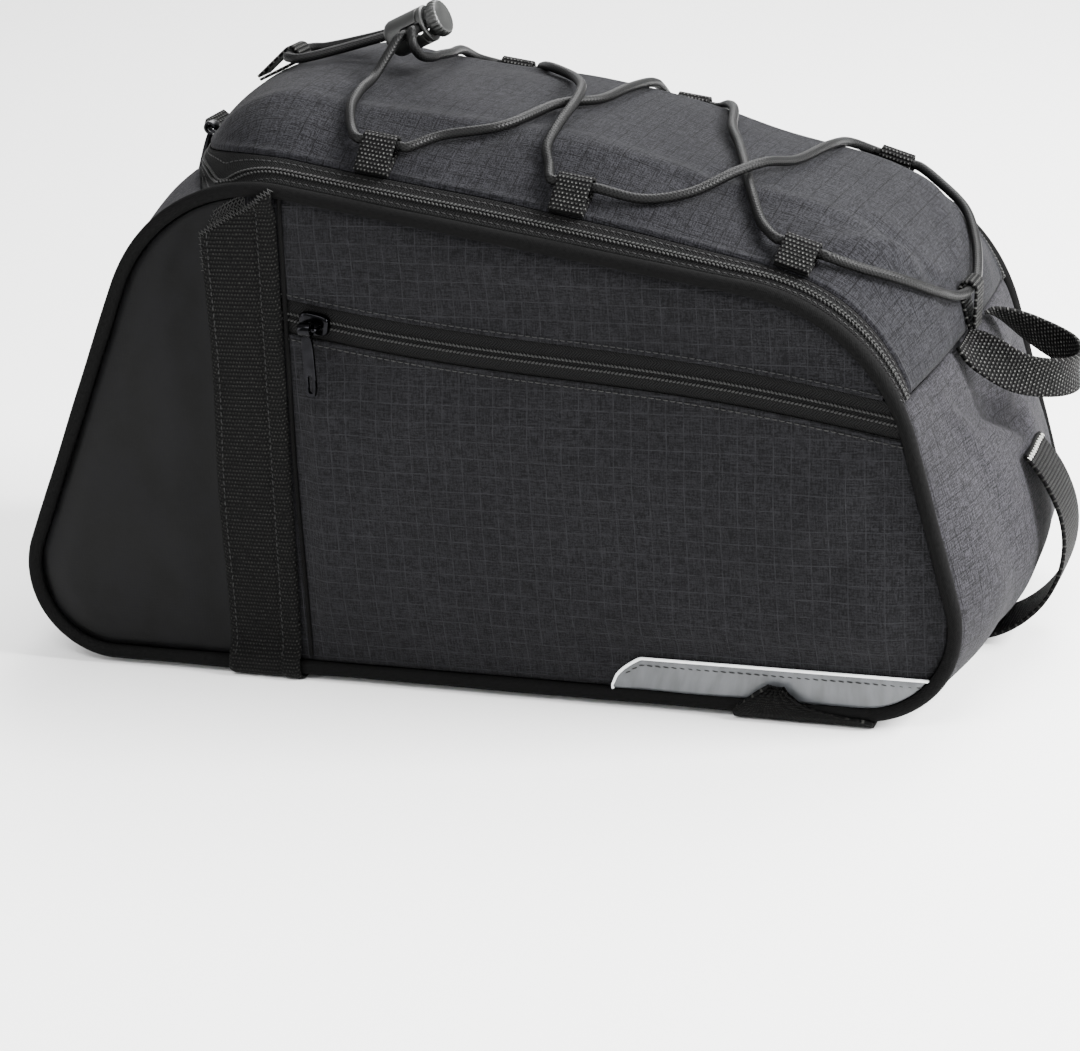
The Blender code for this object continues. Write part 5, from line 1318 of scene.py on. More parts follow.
# %% Reflector
EDGING_RADIUS = 0.00062
EDGING_STITCH_DROP = 0.0026


def reflector_line(x):
    """Height of the reflector's top edge over the side's bottom edge at x: it curves down at its front
    end."""
    ahead = np.clip((x - REFLECTOR_FRONT_X) / REFLECTOR_HEIGHT, 0, 1)
    return REFLECTOR_HEIGHT * np.minimum(np.sqrt(ahead) * 1.04, 1.0)


reflector_top = BASE_Z + PIPING_RADIUS + GAP + REFLECTOR_HEIGHT
rear_end = crossing(lambda x, z: z - reflector_top, STARTS[5], OUTLINE_LENGTH)
base_start = OUTLINE_LENGTH + crossing(lambda x, z: x - REFLECTOR_FRONT_X, 0.0, STARTS[1])
low_edge = even(rim(rear_end, base_start)[::-1], 0.0012)[0]
low_x, low_z = low_edge.T
bottom = low_z.min()
share = np.linspace(0, 1, 13)[None, :]
rear_stop = low_edge[-1, 0]
top_x = low_x[0] + (rear_stop - low_x[0]) * np.linspace(0, 1, len(low_x)) ** 0.9
top_z = bottom + reflector_line(top_x)
x = low_x[:, None] * (1 - share) + top_x[:, None] * share
z = low_z[:, None] * (1 - share) + top_z[:, None] * share
for side, end in SIDES:
    bow = 0.0004 * np.sin(share * math.pi) + 0.0002 * np.sin(x * 160)
    y = side * (BAG_WIDTH / 2 + GAP + REFLECTOR_THICK + bow)
    points = np.stack([x, y, z], axis=-1)
    piece = skin(f"reflector_{end}_film", points, facing=(0, side, 0), thickness=REFLECTOR_THICK)
    dress(piece, "reflector", ["reflector_" + end])
    rim_path = on_side(top_x, top_z, GAP + REFLECTOR_THICK, side)
    lead = np.linspace(0, 1, 12)[:-1, None]
    start = on_side(low_x[:1], low_z[:1], GAP + REFLECTOR_THICK, side)
    rim_path = np.concatenate([start * (1 - lead) + rim_path[:1] * lead, rim_path])
    edging = tube(f"reflector_{end}_edging", rim_path, EDGING_RADIUS, 8, reference=(0, 1, 0.01))
    dress(edging, "edging")
    path = on_side(top_x[4:-3], top_z[4:-3] - EDGING_STITCH_DROP, GAP + REFLECTOR_THICK + 0.0003, side)
    name = f"reflector_{end}_stitches"
    stitch_row(name, path, straight_out(path, side), (3.2, 2.3, 0.24), "thread", 8.0)
print("reflector", points.shape)

# %% [markdown]
# ## Piping
# A cord wrapped in twill is sewn into both side seams. It is a round section carried along the outline, a
# little uneven, as a hand-fed seam is.

# %% Piping
s = np.linspace(0, OUTLINE_LENGTH, 560, endpoint=False)
px, pz, _, _ = outline_at(s)
once_round = s * 2 * math.pi / OUTLINE_LENGTH
wobble = 1 + 0.025 * np.sin(9 * once_round) + 0.02 * np.sin(23 * once_round)
for side, end in SIDES:
    path = np.stack([px, np.full(len(s), side * BAG_WIDTH / 2), pz], axis=1)
    cover = tube(f"piping_{end}_cover", path, PIPING_RADIUS * wobble, 16, ring=True, reference=(0, 1, 0))
    dress(cover, "piping", ["piping_" + end])
print("piping", len(s), "sections")

# %% [markdown]
# ## Base
# The bottom is a stiff padded board with two shallow grooves across it for the straps. It is a rounded bar
# section carried along the base, closed at both ends.

# %% Base
BASE_STRAP_X = 0.1295
BASE_STRAP_WIDTH = 0.052
BASE_STRAP_TIP = 0.0095
front_x = outline_at(BASE_END)[0] + SEAM_GAP
rear_x = outline_at(0.0)[0] - SEAM_GAP
top = BASE_Z - EDGE_RISE + WALL
bar_x = np.linspace(front_x, rear_x, 260)
groove = np.zeros(260)
for middle, width in ((STRAP_BASE_X, STRAP_WIDTH + 0.002), (BASE_STRAP_X, BASE_STRAP_WIDTH + 0.002)):
    groove = np.maximum(groove, smooth_step((width / 2 + 0.0012 - np.abs(bar_x - middle)) / 0.0012))
angle = full_turn(72)
bar_y = drawn_out(np.cos(angle), 0.25) * HALF_BAND
bar_up = drawn_out(np.sin(angle), 0.5)
low = groove * (BASE_DROP + GAP / 2) + 0.0001
bar_z = top / 2 + bar_up[None, :] * (top / 2) + np.where(bar_up < 0, -bar_up, 0)[None, :] * low[:, None]
bar = np.stack(np.broadcast_arrays(bar_x[:, None], bar_y, bar_z), axis=-1)
ends = [bar[:1] * [1, 0, 0] + [0, 0, top / 2], bar[-1:] * [1, 0, 0] + [0, 0, top / 2]]
board = skin("base_board", np.concatenate([ends[0], bar, ends[1]]), around=True, weld=True)
dress(board, "padded", ["base_panel"])
print("base", round(rear_x - front_x, 4), "m long")

# %% [markdown]
# ## Straps
# One wide strap runs up both sides and under the base, over the piping. A second one runs under the base
# near the rear, and its ends are pinched to a point above the reflector. A strap is a grid of rows across
# its width. Its ribs are in the finish, and its selvedges and doubled edge are low relief.

# %% Rack strap
STRAP_COLUMNS = 33
STRAP_SIDE_ROWS = 110


def over_piping(x, z):
    """How far from the middle plane a strap lies on a side, with its rise over the piping."""
    ox, oz, _, _ = outline_at(np.linspace(0, OUTLINE_LENGTH, 1600))
    near = np.hypot(x[..., None] - ox, z[..., None] - oz).min(axis=-1)
    rise = smooth_step((3.4 * PIPING_RADIUS - near) / (2.4 * PIPING_RADIUS))
    return BAG_WIDTH / 2 + GAP + PIPING_RADIUS * rise


def under_bag(low_x, first_bend, count, radius):
    """A strap's rows from a side to the middle of the base: an arc round the piping, then a level run."""
    bend = np.radians(np.linspace(first_bend, 90, count))
    drop = np.maximum(BASE_Z - radius * np.sin(bend), 0.0002)
    run = np.linspace(1, 0, 26)[1:] * -BAG_WIDTH / 2
    y = np.concatenate([-(BAG_WIDTH / 2 + radius * np.cos(bend)), run])
    z = np.concatenate([drop, np.full(len(run), drop[-1])])
    return np.stack(np.broadcast_arrays(low_x, y[:, None], z[:, None]), axis=-1)


across = np.linspace(0, 1, STRAP_COLUMNS)
top_rear = outline_at(place_on_top(STRAP_TOP_X + STRAP_WIDTH / 2))[1] + 0.4 * PIPING_RADIUS
top_edge = top_rear - STRAP_CUT * (1 - across)
down = np.concatenate([np.linspace(0, 0.12, 24), np.linspace(0.12, 1, 90)[1:]])[:, None]
z = top_edge + (BASE_Z - top_edge) * down
x = strap_middle(z) + STRAP_WIDTH * (across - 0.5)
x = x + 0.0006 * np.sin(z * 62 + across * 2) * (across < 0.5)
y = -over_piping(x, z)
side_rows = np.stack([x, y, z], axis=-1)
side_rows = side_rows[z[:, STRAP_COLUMNS // 2] > BASE_Z + 0.4 * PIPING_RADIUS]
round_piping = PIPING_RADIUS + GAP
under_rows = under_bag(STRAP_BASE_X + STRAP_WIDTH * (across - 0.5), 10, 10, round_piping)
strap_points = mirrored(np.concatenate([side_rows, under_rows]))
# Across the strap: two rolled selvedges and a doubled band along the rear quarter
relief = 0.00035 * smooth_step((across - 0.74) / 0.03) - 0.00025 * np.exp(-(((across - 0.73) / 0.02) ** 2))
relief = relief - 0.0006 * np.exp(-((across / 0.03) ** 2)) - 0.0006 * np.exp(-(((across - 1) / 0.03) ** 2))
out = normals_of(strap_points, (0, 0, -1))
outward = np.where(((out * (strap_points - [-0.085, 0, 0.09])).sum(axis=-1) < 0)[..., None], -out, out)
strap_points = strap_points + outward * (WEBBING + relief)[None, :, None]
# The ribs run level, so the chart is measured from the strap's middle row
runs = np.stack([lengths_of(strap_points[:, column]) for column in range(STRAP_COLUMNS)], axis=1)
level_chart = np.stack(np.broadcast_arrays(across * STRAP_WIDTH, runs - runs[len(runs) // 2]), axis=-1)
strap = skin("rack_strap_webbing", strap_points, level_chart, facing=(0, 0, -1), thickness=WEBBING)
dress(strap, "webbing", ["rack_strap"])
print("strap", strap_points.shape, round(lengths_of(strap_points[:, STRAP_COLUMNS // 2])[-1], 3), "m long")

# %% [markdown]
# ## Welt and stitching
# Behind the strap the cloth's edge is rolled into a thin welt, and two lines of lockstitch hold the strap
# to the side. The welt is a round section on a path that drifts from the strap on its way down. Each stitch
# is a bead of thread, because a line drawn in the finish would not stand off the webbing.

# %% Welt beside the strap, and stitching on it
WELT_RADIUS = 0.0009
WELT_FOOT_Z = 0.0105
for side, end in SIDES:
    z = np.linspace(strap_points[0, -1, 2] - 0.003, WELT_FOOT_Z, 90)
    drift = 0.0012 + 0.0022 * smooth_step((0.1 - z) / 0.09)
    x = strap_middle(z) + STRAP_WIDTH / 2 + drift
    welt = tube(f"strap_welt_{end}", on_side(x, z, 0.0004, side), WELT_RADIUS, 10, reference=(0, 1, 0))
    dress(welt, "piping")
for side, end in SIDES:
    half = (strap_points if side < 0 else strap_points[::-1])[:STRAP_SIDE_ROWS]
    for column_name, column in (("front", 3), ("rear", 24)):
        path = half[2:, column]
        name = f"strap_stitches_{end}_{column_name}"
        stitch_row(name, path, straight_out(path, side), (2.8, 1.9, 0.22), "thread")
print("welt and stitches made")

# %% [markdown]
# ## Frayed end
# The strap is cut at a slant at its top and its yarns have come loose there. Just above the cut a patch of
# hook tape looks out from behind it. Both are short threads that lean at changing angles, coarser than real
# ones, which would be too fine to see.

# %% Frayed end of the strap, and the tufts of hook tape at it
for side, end in SIDES:
    row = strap_points[0] if side < 0 else strap_points[-1]
    path = row + [0, side * 0.0002, 0.0004]
    stitch_row(
        f"strap_fray_{end}", path, straight_out(path, side), (0.8, 2.6, 0.17), "coil", 78.0, 22.0
    )
    path = strap_points[1:16, 0] if side < 0 else strap_points[-16:-1, 0]
    name = f"strap_edge_fray_{end}"
    stitch_row(name, path, straight_out(path, side), (1.3, 2.0, 0.16), "coil", 30.0, 50.0)
    for number in range(4):
        tuft = row[3 + number : 20] + [0, side * (-WEBBING - 0.0002), 0.0016 + 0.0013 * number]
        name = f"hook_tape_{end}_{number + 1}"
        stitch_row(
            name, tuft, straight_out(tuft, side), (0.9, 1.5, 0.2), "coil", 15.0 * number, 60.0
        )
print("frayed ends made")

# %% [markdown]
# ## Base strap
# The second strap is gathered into a point on each side. A short table of shares gives its outline there, a
# sine wave across it gives its pleats, and it runs under the base as the first one does.

# %% Base strap
tip = BASE_Z + BASE_STRAP_TIP
# Columns: height above the piping's centre as a share of the tip's, front and rear edges as shares of the
# half width
TAB_SHAPE = (
    (1.0, -0.44, -0.26),
    (0.72, -0.60, -0.16),
    (0.35, -0.80, 0.05),
    (0.12, -0.95, 0.35),
    (-0.10, -1.0, 0.80),
)
share, front, rear = np.array(TAB_SHAPE[::-1]).T
level = np.linspace(1.0, -0.10, 26)
front_at = np.interp(level, share, front)
rear_at = np.interp(level, share, rear)
v = np.linspace(0, 1, 49)
x = BASE_STRAP_X + BASE_STRAP_WIDTH / 2 * (front_at[:, None] + (rear_at - front_at)[:, None] * v)
pleat = 0.0007 * np.clip(level, 0, 1)[:, None] * np.sin(v * 2 * math.pi * 5)[None, :]
z = BASE_Z + (tip - BASE_Z) * level[:, None] + 0 * x
y = -(BAG_WIDTH / 2 + round_piping + 0.0003 + WEBBING) + pleat
tab_rows = np.stack([x, y + 0 * x, z], axis=-1)
under_rows = under_bag(BASE_STRAP_X + BASE_STRAP_WIDTH * (v - 0.5), 30, 8, round_piping + WEBBING)
base_strap = mirrored(np.concatenate([tab_rows, under_rows]))
piece = skin("base_strap_webbing", base_strap, facing=(0, 0, -1), thickness=WEBBING)
dress(piece, "webbing", ["base_strap"])
print("base strap", base_strap.shape)

# %% [markdown]
# ## Loops of webbing
# Six loops in the lid's seam and one at each end guide the cord. A loop is a narrow tape folded round the
# cord, so its profile is two layers and most of a circle. A wider tape makes the grab loop, the lamp strap
# and the front tab.

# %% Loops for the cord
LID_LOOP_WIDTH = 0.013
LID_LOOP_REACH = 0.0095
LID_LOOP_X = (-0.0315, 0.0432, 0.1250)
CORD_RADIUS = 0.0019
EYE_RADIUS = 0.0025
EYE_HEIGHT = EYE_RADIUS + LOOP_WEBBING + 0.0007
END_LOOP_WIDTH = 0.011
FRONT_LOOP_X = -0.086
FRONT_LOOP_REACH = 0.0112
REAR_LOOP_REACH = 0.0125


def loop_strip(node, root, eye, out, width_axis, width):
    """A folded strip sewn at root that holds an eye: its profile is two straight layers and an arc of 200
    degrees."""
    layer = (LOOP_WEBBING + GAP) / 2
    around = EYE_RADIUS + LOOP_WEBBING / 2
    along = unit(eye - root)
    up = unit(out - along * np.dot(out, along))
    turn = np.radians(np.linspace(-100, 100, 26))[:, None]
    arc = eye + around * (along * np.cos(turn) + up * np.sin(turn))
    lead = np.linspace(0, 1, 10)[:-1, None]
    lower = (root - up * layer) * (1 - lead) + arc[:1] * lead
    upper = arc[-1:] + (root + up * layer - arc[-1:]) * np.linspace(0, 1, 10)[1:, None]
    profile = np.concatenate([lower, arc, upper])
    across = np.linspace(-0.5, 0.5, 11)
    points = profile[:, None] + (across * width)[None, :, None] * width_axis
    piece = skin(node + "_tape", points, thickness=LOOP_WEBBING, offset=0.0)
    return dress(piece, "loop_webbing", [node])


def eye_on_lid(s, y):
    """Middle of an eye that lies on the lid, and the direction out of the lid there."""
    out = out_of(lid_height, s, y)
    return band_point(lid_height, s, y) + out * EYE_HEIGHT, out


def seam_root(s, y):
    """Where a loop is sewn down, one and a half tapes over the lid, and the direction out of the lid
    there."""
    out = out_of(lid_height, s, y)
    return band_point(lid_height, s, y) + out * (1.5 * LOOP_WEBBING + 1.5 * GAP), out


def lid_eye(side, number):
    """Middle of a lid loop's eye, the place of its seam, and the eye's axis, which runs along the
    outline."""
    s = place_on_top(LID_LOOP_X[number - 1])
    eye, _ = eye_on_lid(s, side * (HALF_BAND - ZIP_BAND - LID_LOOP_REACH))
    _, _, nx, nz = outline_at(s)
    return eye, s, np.array([nz, 0, -nx])


for side, end in SIDES:
    for number in (1, 2, 3):
        eye, s, axis = lid_eye(side, number)
        root, _ = seam_root(s, side * (HALF_BAND - ZIP_BAND))
        upward = np.array([-axis[2], 0, axis[0]])
        loop_strip(f"lid_loop_{end}_{number}", root, eye, upward, axis, LID_LOOP_WIDTH)
for name, s_root, s_eye in (
    ("front_cord_loop", place_on_top(FRONT_LOOP_X) - FRONT_LOOP_REACH, place_on_top(FRONT_LOOP_X)),
    ("rear_cord_loop", LID_END - SEAM_GAP, LID_END - SEAM_GAP - REAR_LOOP_REACH),
):
    root, out = seam_root(s_root, 0.0)
    eye, eye_out = eye_on_lid(s_eye, 0.0)
    loop_strip(name, root, eye, out + eye_out, np.array([0.0, 1.0, 0.0]), END_LOOP_WIDTH)
print("loops made")

# %% [markdown]
# ## Webbing that leaves the bag's face
# The grab loop, the lamp strap and the front tab could be curves with a flat bevel, but their width has to
# twist or to follow the wall. Each is a grid instead, and a short table gives its way off the face.

# %% Grab loop, front tab and lamp strap
GRAB_WIDTH = 0.015
GRAB_REACH = 0.040
GRAB_MIDDLE_Y = 0.009
LIGHT_STRAP_WIDTH = 0.030
LIGHT_STRAP_Y = 0.012
LIGHT_STRAP_TOP_Z = 0.077
LIGHT_STRAP_STANDOFF = 0.0085
TAB_WIDTH = 0.012
TAB_LENGTH = 0.016
TAB_Y = 0.012
# Columns: out, across and up from the middle of the loop's seam, as shares of its reach, then its width's
# direction
GRAB_ROWS = (
    (0.07, -0.60, 0.03, 0.10, 1.00, 0.15),
    (0.30, -0.62, -0.10, 0.35, 0.55, 0.80),
    (0.58, -0.50, -0.30, 0.35, 0.15, 0.95),
    (0.88, -0.25, -0.40, 0.25, 0.00, 1.00),
    (1.00, 0.08, -0.42, 0.10, 0.00, 1.00),
    (0.88, 0.40, -0.36, -0.05, 0.05, 1.00),
    (0.52, 0.55, -0.22, -0.10, -0.25, 0.95),
    (0.20, 0.54, -0.07, -0.10, -0.70, 0.60),
    (0.07, 0.48, 0.00, 0.00, -1.00, 0.15),
)
TAB_ROWS = (
    (0.08, 0.0, 0.0, 0.0, 1.0, 0.0),
    (0.5, 0.0, 0.02, 0.0, 1.0, 0.1),
    (1.0, 0.0, -0.16, 0.0, 1.0, 0.25),
)
LIGHT_STRAP_ROWS = ((0.0, 0.0), (0.12, 0.45), (0.35, 0.95), (0.55, 1.0), (0.8, 0.6), (1.0, 0.0))


def ribbon(node, rows, reach, origin, axes, width, thickness, steps, curl=0.0):
    """A band of webbing along a smooth curve through rows, with its width's direction, and a slight curl
    across."""
    rows = np.array(rows) * ([reach] * 3 + [1] * 3)
    fine = np.linspace(0, 1, steps)
    smooth = np.stack([smooth_rows(fine, np.linspace(0, 1, len(rows)), column) for column in rows.T], axis=1)
    middle = origin + smooth[:, :3] @ axes
    across = unit(smooth[:, 3:] @ axes)
    out = np.cross(unit(np.gradient(middle, axis=0)), across)
    t = np.linspace(-1, 1, 15)
    points = middle[:, None] + across[:, None] * (t * width / 2)[None, :, None]
    points = points + out[:, None] * (curl * (t**2 - 0.4))[None, :, None]
    piece = skin(node + "_webbing", points, thickness=thickness, offset=0.0)
    return dress(piece, "loop_webbing", [node])


seat = band_point(rear_height, LID_END, GRAB_MIDDLE_Y)
ribbon("grab_loop", GRAB_ROWS, GRAB_REACH, seat, np.eye(3), GRAB_WIDTH, WEBBING, 110, 0.0008)
out = out_of(front_height, LID_START, TAB_Y)
axes = np.array([out, [0, 1, 0], np.cross([0, 1, 0], out)])
seat = band_point(front_height, LID_START, TAB_Y)
ribbon("front_tab", TAB_ROWS, TAB_LENGTH, seat, axes, TAB_WIDTH, 2 * LOOP_WEBBING, 24)

s = np.linspace(LID_END, OUTLINE_LENGTH - 0.014, 300)
face = band_point(rear_height, s, LIGHT_STRAP_Y)
top_s = s[np.argmin(np.abs(face[:, 2] - LIGHT_STRAP_TOP_Z))]
share = np.linspace(0, 1, 90)
lamp_s = top_s + (s[-1] - top_s) * share
off = LIGHT_STRAP_STANDOFF * smooth_rows(share, *zip(*LIGHT_STRAP_ROWS)) + 2 * GAP + WEBBING
lamp_y = LIGHT_STRAP_Y + np.linspace(-LIGHT_STRAP_WIDTH / 2, LIGHT_STRAP_WIDTH / 2, 25)
lamp = band_point(rear_height, lamp_s[:, None], lamp_y[None, :], off[:, None])
piece = skin("light_strap_webbing", lamp, facing=(1, 0, 0), thickness=WEBBING)
dress(piece, "webbing", ["light_strap"])
lamp_out = normals_of(lamp, (1, 0, 0))
stitch_row("light_strap_zigzag", lamp[2], lamp_out[2], (1.5, 2.4, 0.3), "pale_thread", 0.0, 55.0)
print("straps and loops made")

# %% [markdown]
# ## Elastic cord
# One closed loop of braided elastic crosses the lid from loop to loop and passes twice through its lock. It
# is held all along, so it is not a free cord. Tables give its way as shares of the lid, and a closed smooth
# curve whose spans are timed by the square root of their length runs through them.

# %% Elastic cord
LOCK_POS = (-0.0509, -0.002, 0.2327)
LOCK_TILT = 23.3
LOCK_RADIUS = 0.0073
CORD_HOLE_AT = 0.0125
# Columns: share along the lid, share across its half width, lift over its resting height as a share of its
# width
CORD_NEAR_1_TO_FAR_2 = (
    (0.357, -0.706, 0.0), (0.419, -0.588, 0.0), (0.459, -0.248, 0.0), (0.492, -0.059, 0.0),
    (0.503, 0.22, 0.1), (0.508, 0.58, 0.25),
)
CORD_FAR_2_TO_NEAR_3 = (
    (0.600, 0.66, 0.2), (0.630, 0.38, 0.25), (0.652, 0.10, 0.1), (0.674, -0.06, 0.0), (0.707, -0.34, 0.0),
    (0.734, -0.56, 0.0), (0.762, -0.72, 0.0),
)
CORD_NEAR_3_TO_REAR = ((0.868, -0.742, 0.0), (0.904, -0.61, 0.0), (0.936, -0.40, 0.0), (0.955, -0.21, 0.2))
CORD_REAR_TO_FAR_3 = ((0.955, 0.21, 0.2), (0.936, 0.40, 0.0), (0.904, 0.61, 0.0), (0.868, 0.742, 0.0))
CORD_FAR_3_TO_NEAR_2 = (
    (0.766, 0.66, 0.2), (0.762, 0.30, 0.25), (0.747, -0.08, 0.25), (0.728, -0.34, 1.1), (0.707, -0.50, 0.9),
    (0.669, -0.686, 0.0), (0.622, -0.790, 0.0),
)
CORD_NEAR_2_TO_FAR_1 = (
    (0.500, -0.742, 0.0), (0.487, -0.66, 0.0), (0.483, -0.50, 0.1), (0.482, -0.29, 0.8), (0.473, -0.12, 1.1),
    (0.453, 0.06, 0.6), (0.425, 0.253, 0.0), (0.383, 0.41, 0.0), (0.345, 0.66, 0.0),
)
CORD_OVER_NEAR_1 = ((0.226, -0.50, 0.0), (0.232, -0.64, 0.0), (0.248, -0.75, 0.0))
CORD_FAR_1_TO_LOCK = ((0.252, 0.72, 0.0), (0.252, 0.48, 0.1))
# Columns: x, y and z from the middle of the lock's cord hole, in lock radii
CORD_LOCK_TO_NEAR_1 = ((-0.45, -1.75, -0.25), (-0.75, -2.35, -0.85), (-1.15, -3.6, -1.85))
CORD_UNDER_LOCK = (
    (0.75, 2.3, -1.75), (0.85, 0.6, -1.52), (0.8, -0.55, -1.42), (0.62, -1.5, -1.1), (0.42, -1.85, -0.45),
)
CORD_TAIL_NEAR = ((-1.65, 1.95, -0.5), (-0.9, 1.95, -0.3), (-0.42, 1.62, -0.15))
CORD_TAIL_FAR = ((0.12, 2.1, 0.05), (-0.35, 2.5, -0.05), (-0.9, 2.62, -0.2), (-1.65, 2.62, -0.45))
tilt = math.radians(LOCK_TILT)
barrel_axis = np.array([math.cos(tilt), 0, math.sin(tilt)])
hole = np.array(LOCK_POS) + barrel_axis * CORD_HOLE_AT
strand = barrel_axis * (CORD_RADIUS + GAP / 2)
across_bag = np.array([0.0, 1.0, 0.0])


def on_lid(rows):
    """Points of the cord's middle from a table."""
    share, across, lift = np.array(rows).T
    off = CORD_RADIUS + 3 * GAP + 2 * CORD_RADIUS * lift
    return band_point(lid_height, LID_START + LID_LENGTH * share, HALF_BAND * across, off)


def by_lock(rows):
    """Points from a table in lock radii."""
    return hole + np.array(rows) * LOCK_RADIUS


def through_eye(eye, axis, width):
    """Four points on an eye's axis, so that the cord is straight in the eye."""
    inside = width / 2 + 2 * GAP
    outside = inside + 1.3 * CORD_RADIUS
    return eye + np.array([-outside, -inside, inside, outside])[:, None] * axis


def through_loop(side, number, way=1):
    """The same through a lid loop, along the outline or back."""
    eye, _, axis = lid_eye(side, number)
    return through_eye(eye, way * axis, LID_LOOP_WIDTH)


def smooth_ring(points, steps):
    """A closed curve through points: Neville's scheme on times that grow by the square root of each
    span."""
    a, b, c, d = (np.roll(points, -k, axis=0)[:, None] for k in (-1, 0, 1, 2))
    spans = [np.sqrt(np.linalg.norm(q - p, axis=2)) for p, q in ((a, b), (b, c), (c, d))]
    t1, t2, t3 = np.cumsum(spans, axis=0)[..., None]
    t = t1 + (t2 - t1) * (np.arange(steps) / steps)[None, :, None]
    ab = a + (b - a) * t / t1
    bc = b + (c - b) * (t - t1) / (t2 - t1)
    cd = c + (d - c) * (t - t2) / (t3 - t2)
    abc = ab + (bc - ab) * t / t2
    bcd = bc + (cd - bc) * (t - t1) / (t3 - t1)
    return (abc + (bcd - abc) * (t - t1) / (t2 - t1)).reshape(-1, 3)


front_eye, _ = eye_on_lid(place_on_top(FRONT_LOOP_X), 0.0)
rear_eye, _ = eye_on_lid(LID_END - SEAM_GAP - REAR_LOOP_REACH, 0.0)
bend = 1.7 * CORD_RADIUS
front_points = through_eye(front_eye, -across_bag, END_LOOP_WIDTH)
route = np.concatenate([
    front_points[0] + np.array([[2.2 * bend, 0.9 * bend, 0], [bend, 0.75 * bend, 0]]),
    front_points,
    front_points[3] + np.array([[bend, -0.75 * bend, 0], [2.2 * bend, -0.9 * bend, 0]]),
    by_lock(CORD_TAIL_NEAR),
    through_eye(hole - strand, -across_bag, 2 * LOCK_RADIUS),
    by_lock(CORD_LOCK_TO_NEAR_1),
    on_lid(CORD_OVER_NEAR_1),
    through_loop(-1, 1),
    on_lid(CORD_NEAR_1_TO_FAR_2),
    through_loop(1, 2),
    on_lid(CORD_FAR_2_TO_NEAR_3),
    through_loop(-1, 3),
    on_lid(CORD_NEAR_3_TO_REAR),
    through_eye(rear_eye, across_bag, END_LOOP_WIDTH),
    on_lid(CORD_REAR_TO_FAR_3),
    through_loop(1, 3, -1),
    on_lid(CORD_FAR_3_TO_NEAR_2),
    through_loop(-1, 2, -1),
    on_lid(CORD_NEAR_2_TO_FAR_1),
    through_loop(1, 1, -1),
    on_lid(CORD_FAR_1_TO_LOCK),
    by_lock(CORD_UNDER_LOCK),
    through_eye(hole + strand, across_bag, 2 * LOCK_RADIUS),
    by_lock(CORD_TAIL_FAR),
])
cord_line = smooth_ring(route, 12)
cord = tube("elastic_cord", cord_line, CORD_RADIUS, 12, ring=True)
dress(cord, "cord", ["bungee_cord"])
print("cord", round(lengths_of(np.concatenate([cord_line, cord_line[:1]]))[-1], 3), "m round")

# %% [markdown]
# ## Cord lock
# A moulded barrel with a sprung button holds the cord by friction. Both are turned shapes: a profile of
# radius and height swept round the axis. The hole for the two strands is cut through both with an exact
# boolean.

# %% Cord lock
LOCK_LENGTH = 0.0185
LOCK_FLOOR = 0.0025
BUTTON_RADIUS = 0.0052
BUTTON_CLEARANCE = 0.0003
BUTTON_TRAVEL = 0.002
BUTTON_CAP = 0.0038
CORD_HOLE_LENGTH = 0.0092
CORD_HOLE_WIDTH = 0.0052
lock_place = Matrix.Translation(LOCK_POS) @ Matrix.Rotation(math.radians(90 - LOCK_TILT), 4, "Y")


def lathe(profile, sides, flutes=0, depth=0.0, low=0.0, high=0.0):
    """A profile of (radius, height) swept round Z. Flutes cut the radius by depth * (1 - |cos|) between two
    heights."""
    radius, height = np.array(profile).T
    angle = full_turn(sides)
    within = smooth_step((height - low) / 0.0004) * smooth_step((high - height) / 0.0004)
    cut = depth * (1 - np.abs(np.cos(angle * flutes / 2)))[None, :] * within[:, None]
    r = np.where(radius[:, None] > 0, radius[:, None] - cut, 0)
    return np.stack([r * np.cos(angle), r * np.sin(angle), height[:, None] + 0 * r], axis=-1)


def cut_through(piece, size, middle):
    """Takes a block out of a piece with an exact boolean, and keeps the result as its mesh."""
    bm = bmesh.new()
    bmesh.ops.create_cube(bm, size=1.0)
    bmesh.ops.scale(bm, vec=size, verts=bm.verts)
    bmesh.ops.bevel(bm, geom=bm.edges, offset=0.0012, segments=3, affect="EDGES", profile=0.5)
    bmesh.ops.translate(bm, vec=middle, verts=bm.verts)
    block_mesh = bpy.data.meshes.new("block")
    bm.to_mesh(block_mesh)
    bm.free()
    block = in_scene("block", block_mesh)
    cut = piece.modifiers.new("cut", "BOOLEAN")
    cut.operation = "DIFFERENCE"
    cut.object = block
    cut.solver = "EXACT"
    bpy.context.view_layer.update()
    done = bpy.data.meshes.new_from_object(piece.evaluated_get(bpy.context.evaluated_depsgraph_get()))
    piece.modifiers.clear()
    piece.data = done
    bpy.data.objects.remove(block, do_unlink=True)
    return piece


def sharp(piece, angle=35):
    """Smooth faces with sharp edges where they meet at more than an angle."""
    piece.data.shade_smooth()
    piece.data.set_sharp_from_angle(angle=math.radians(angle))
    return piece


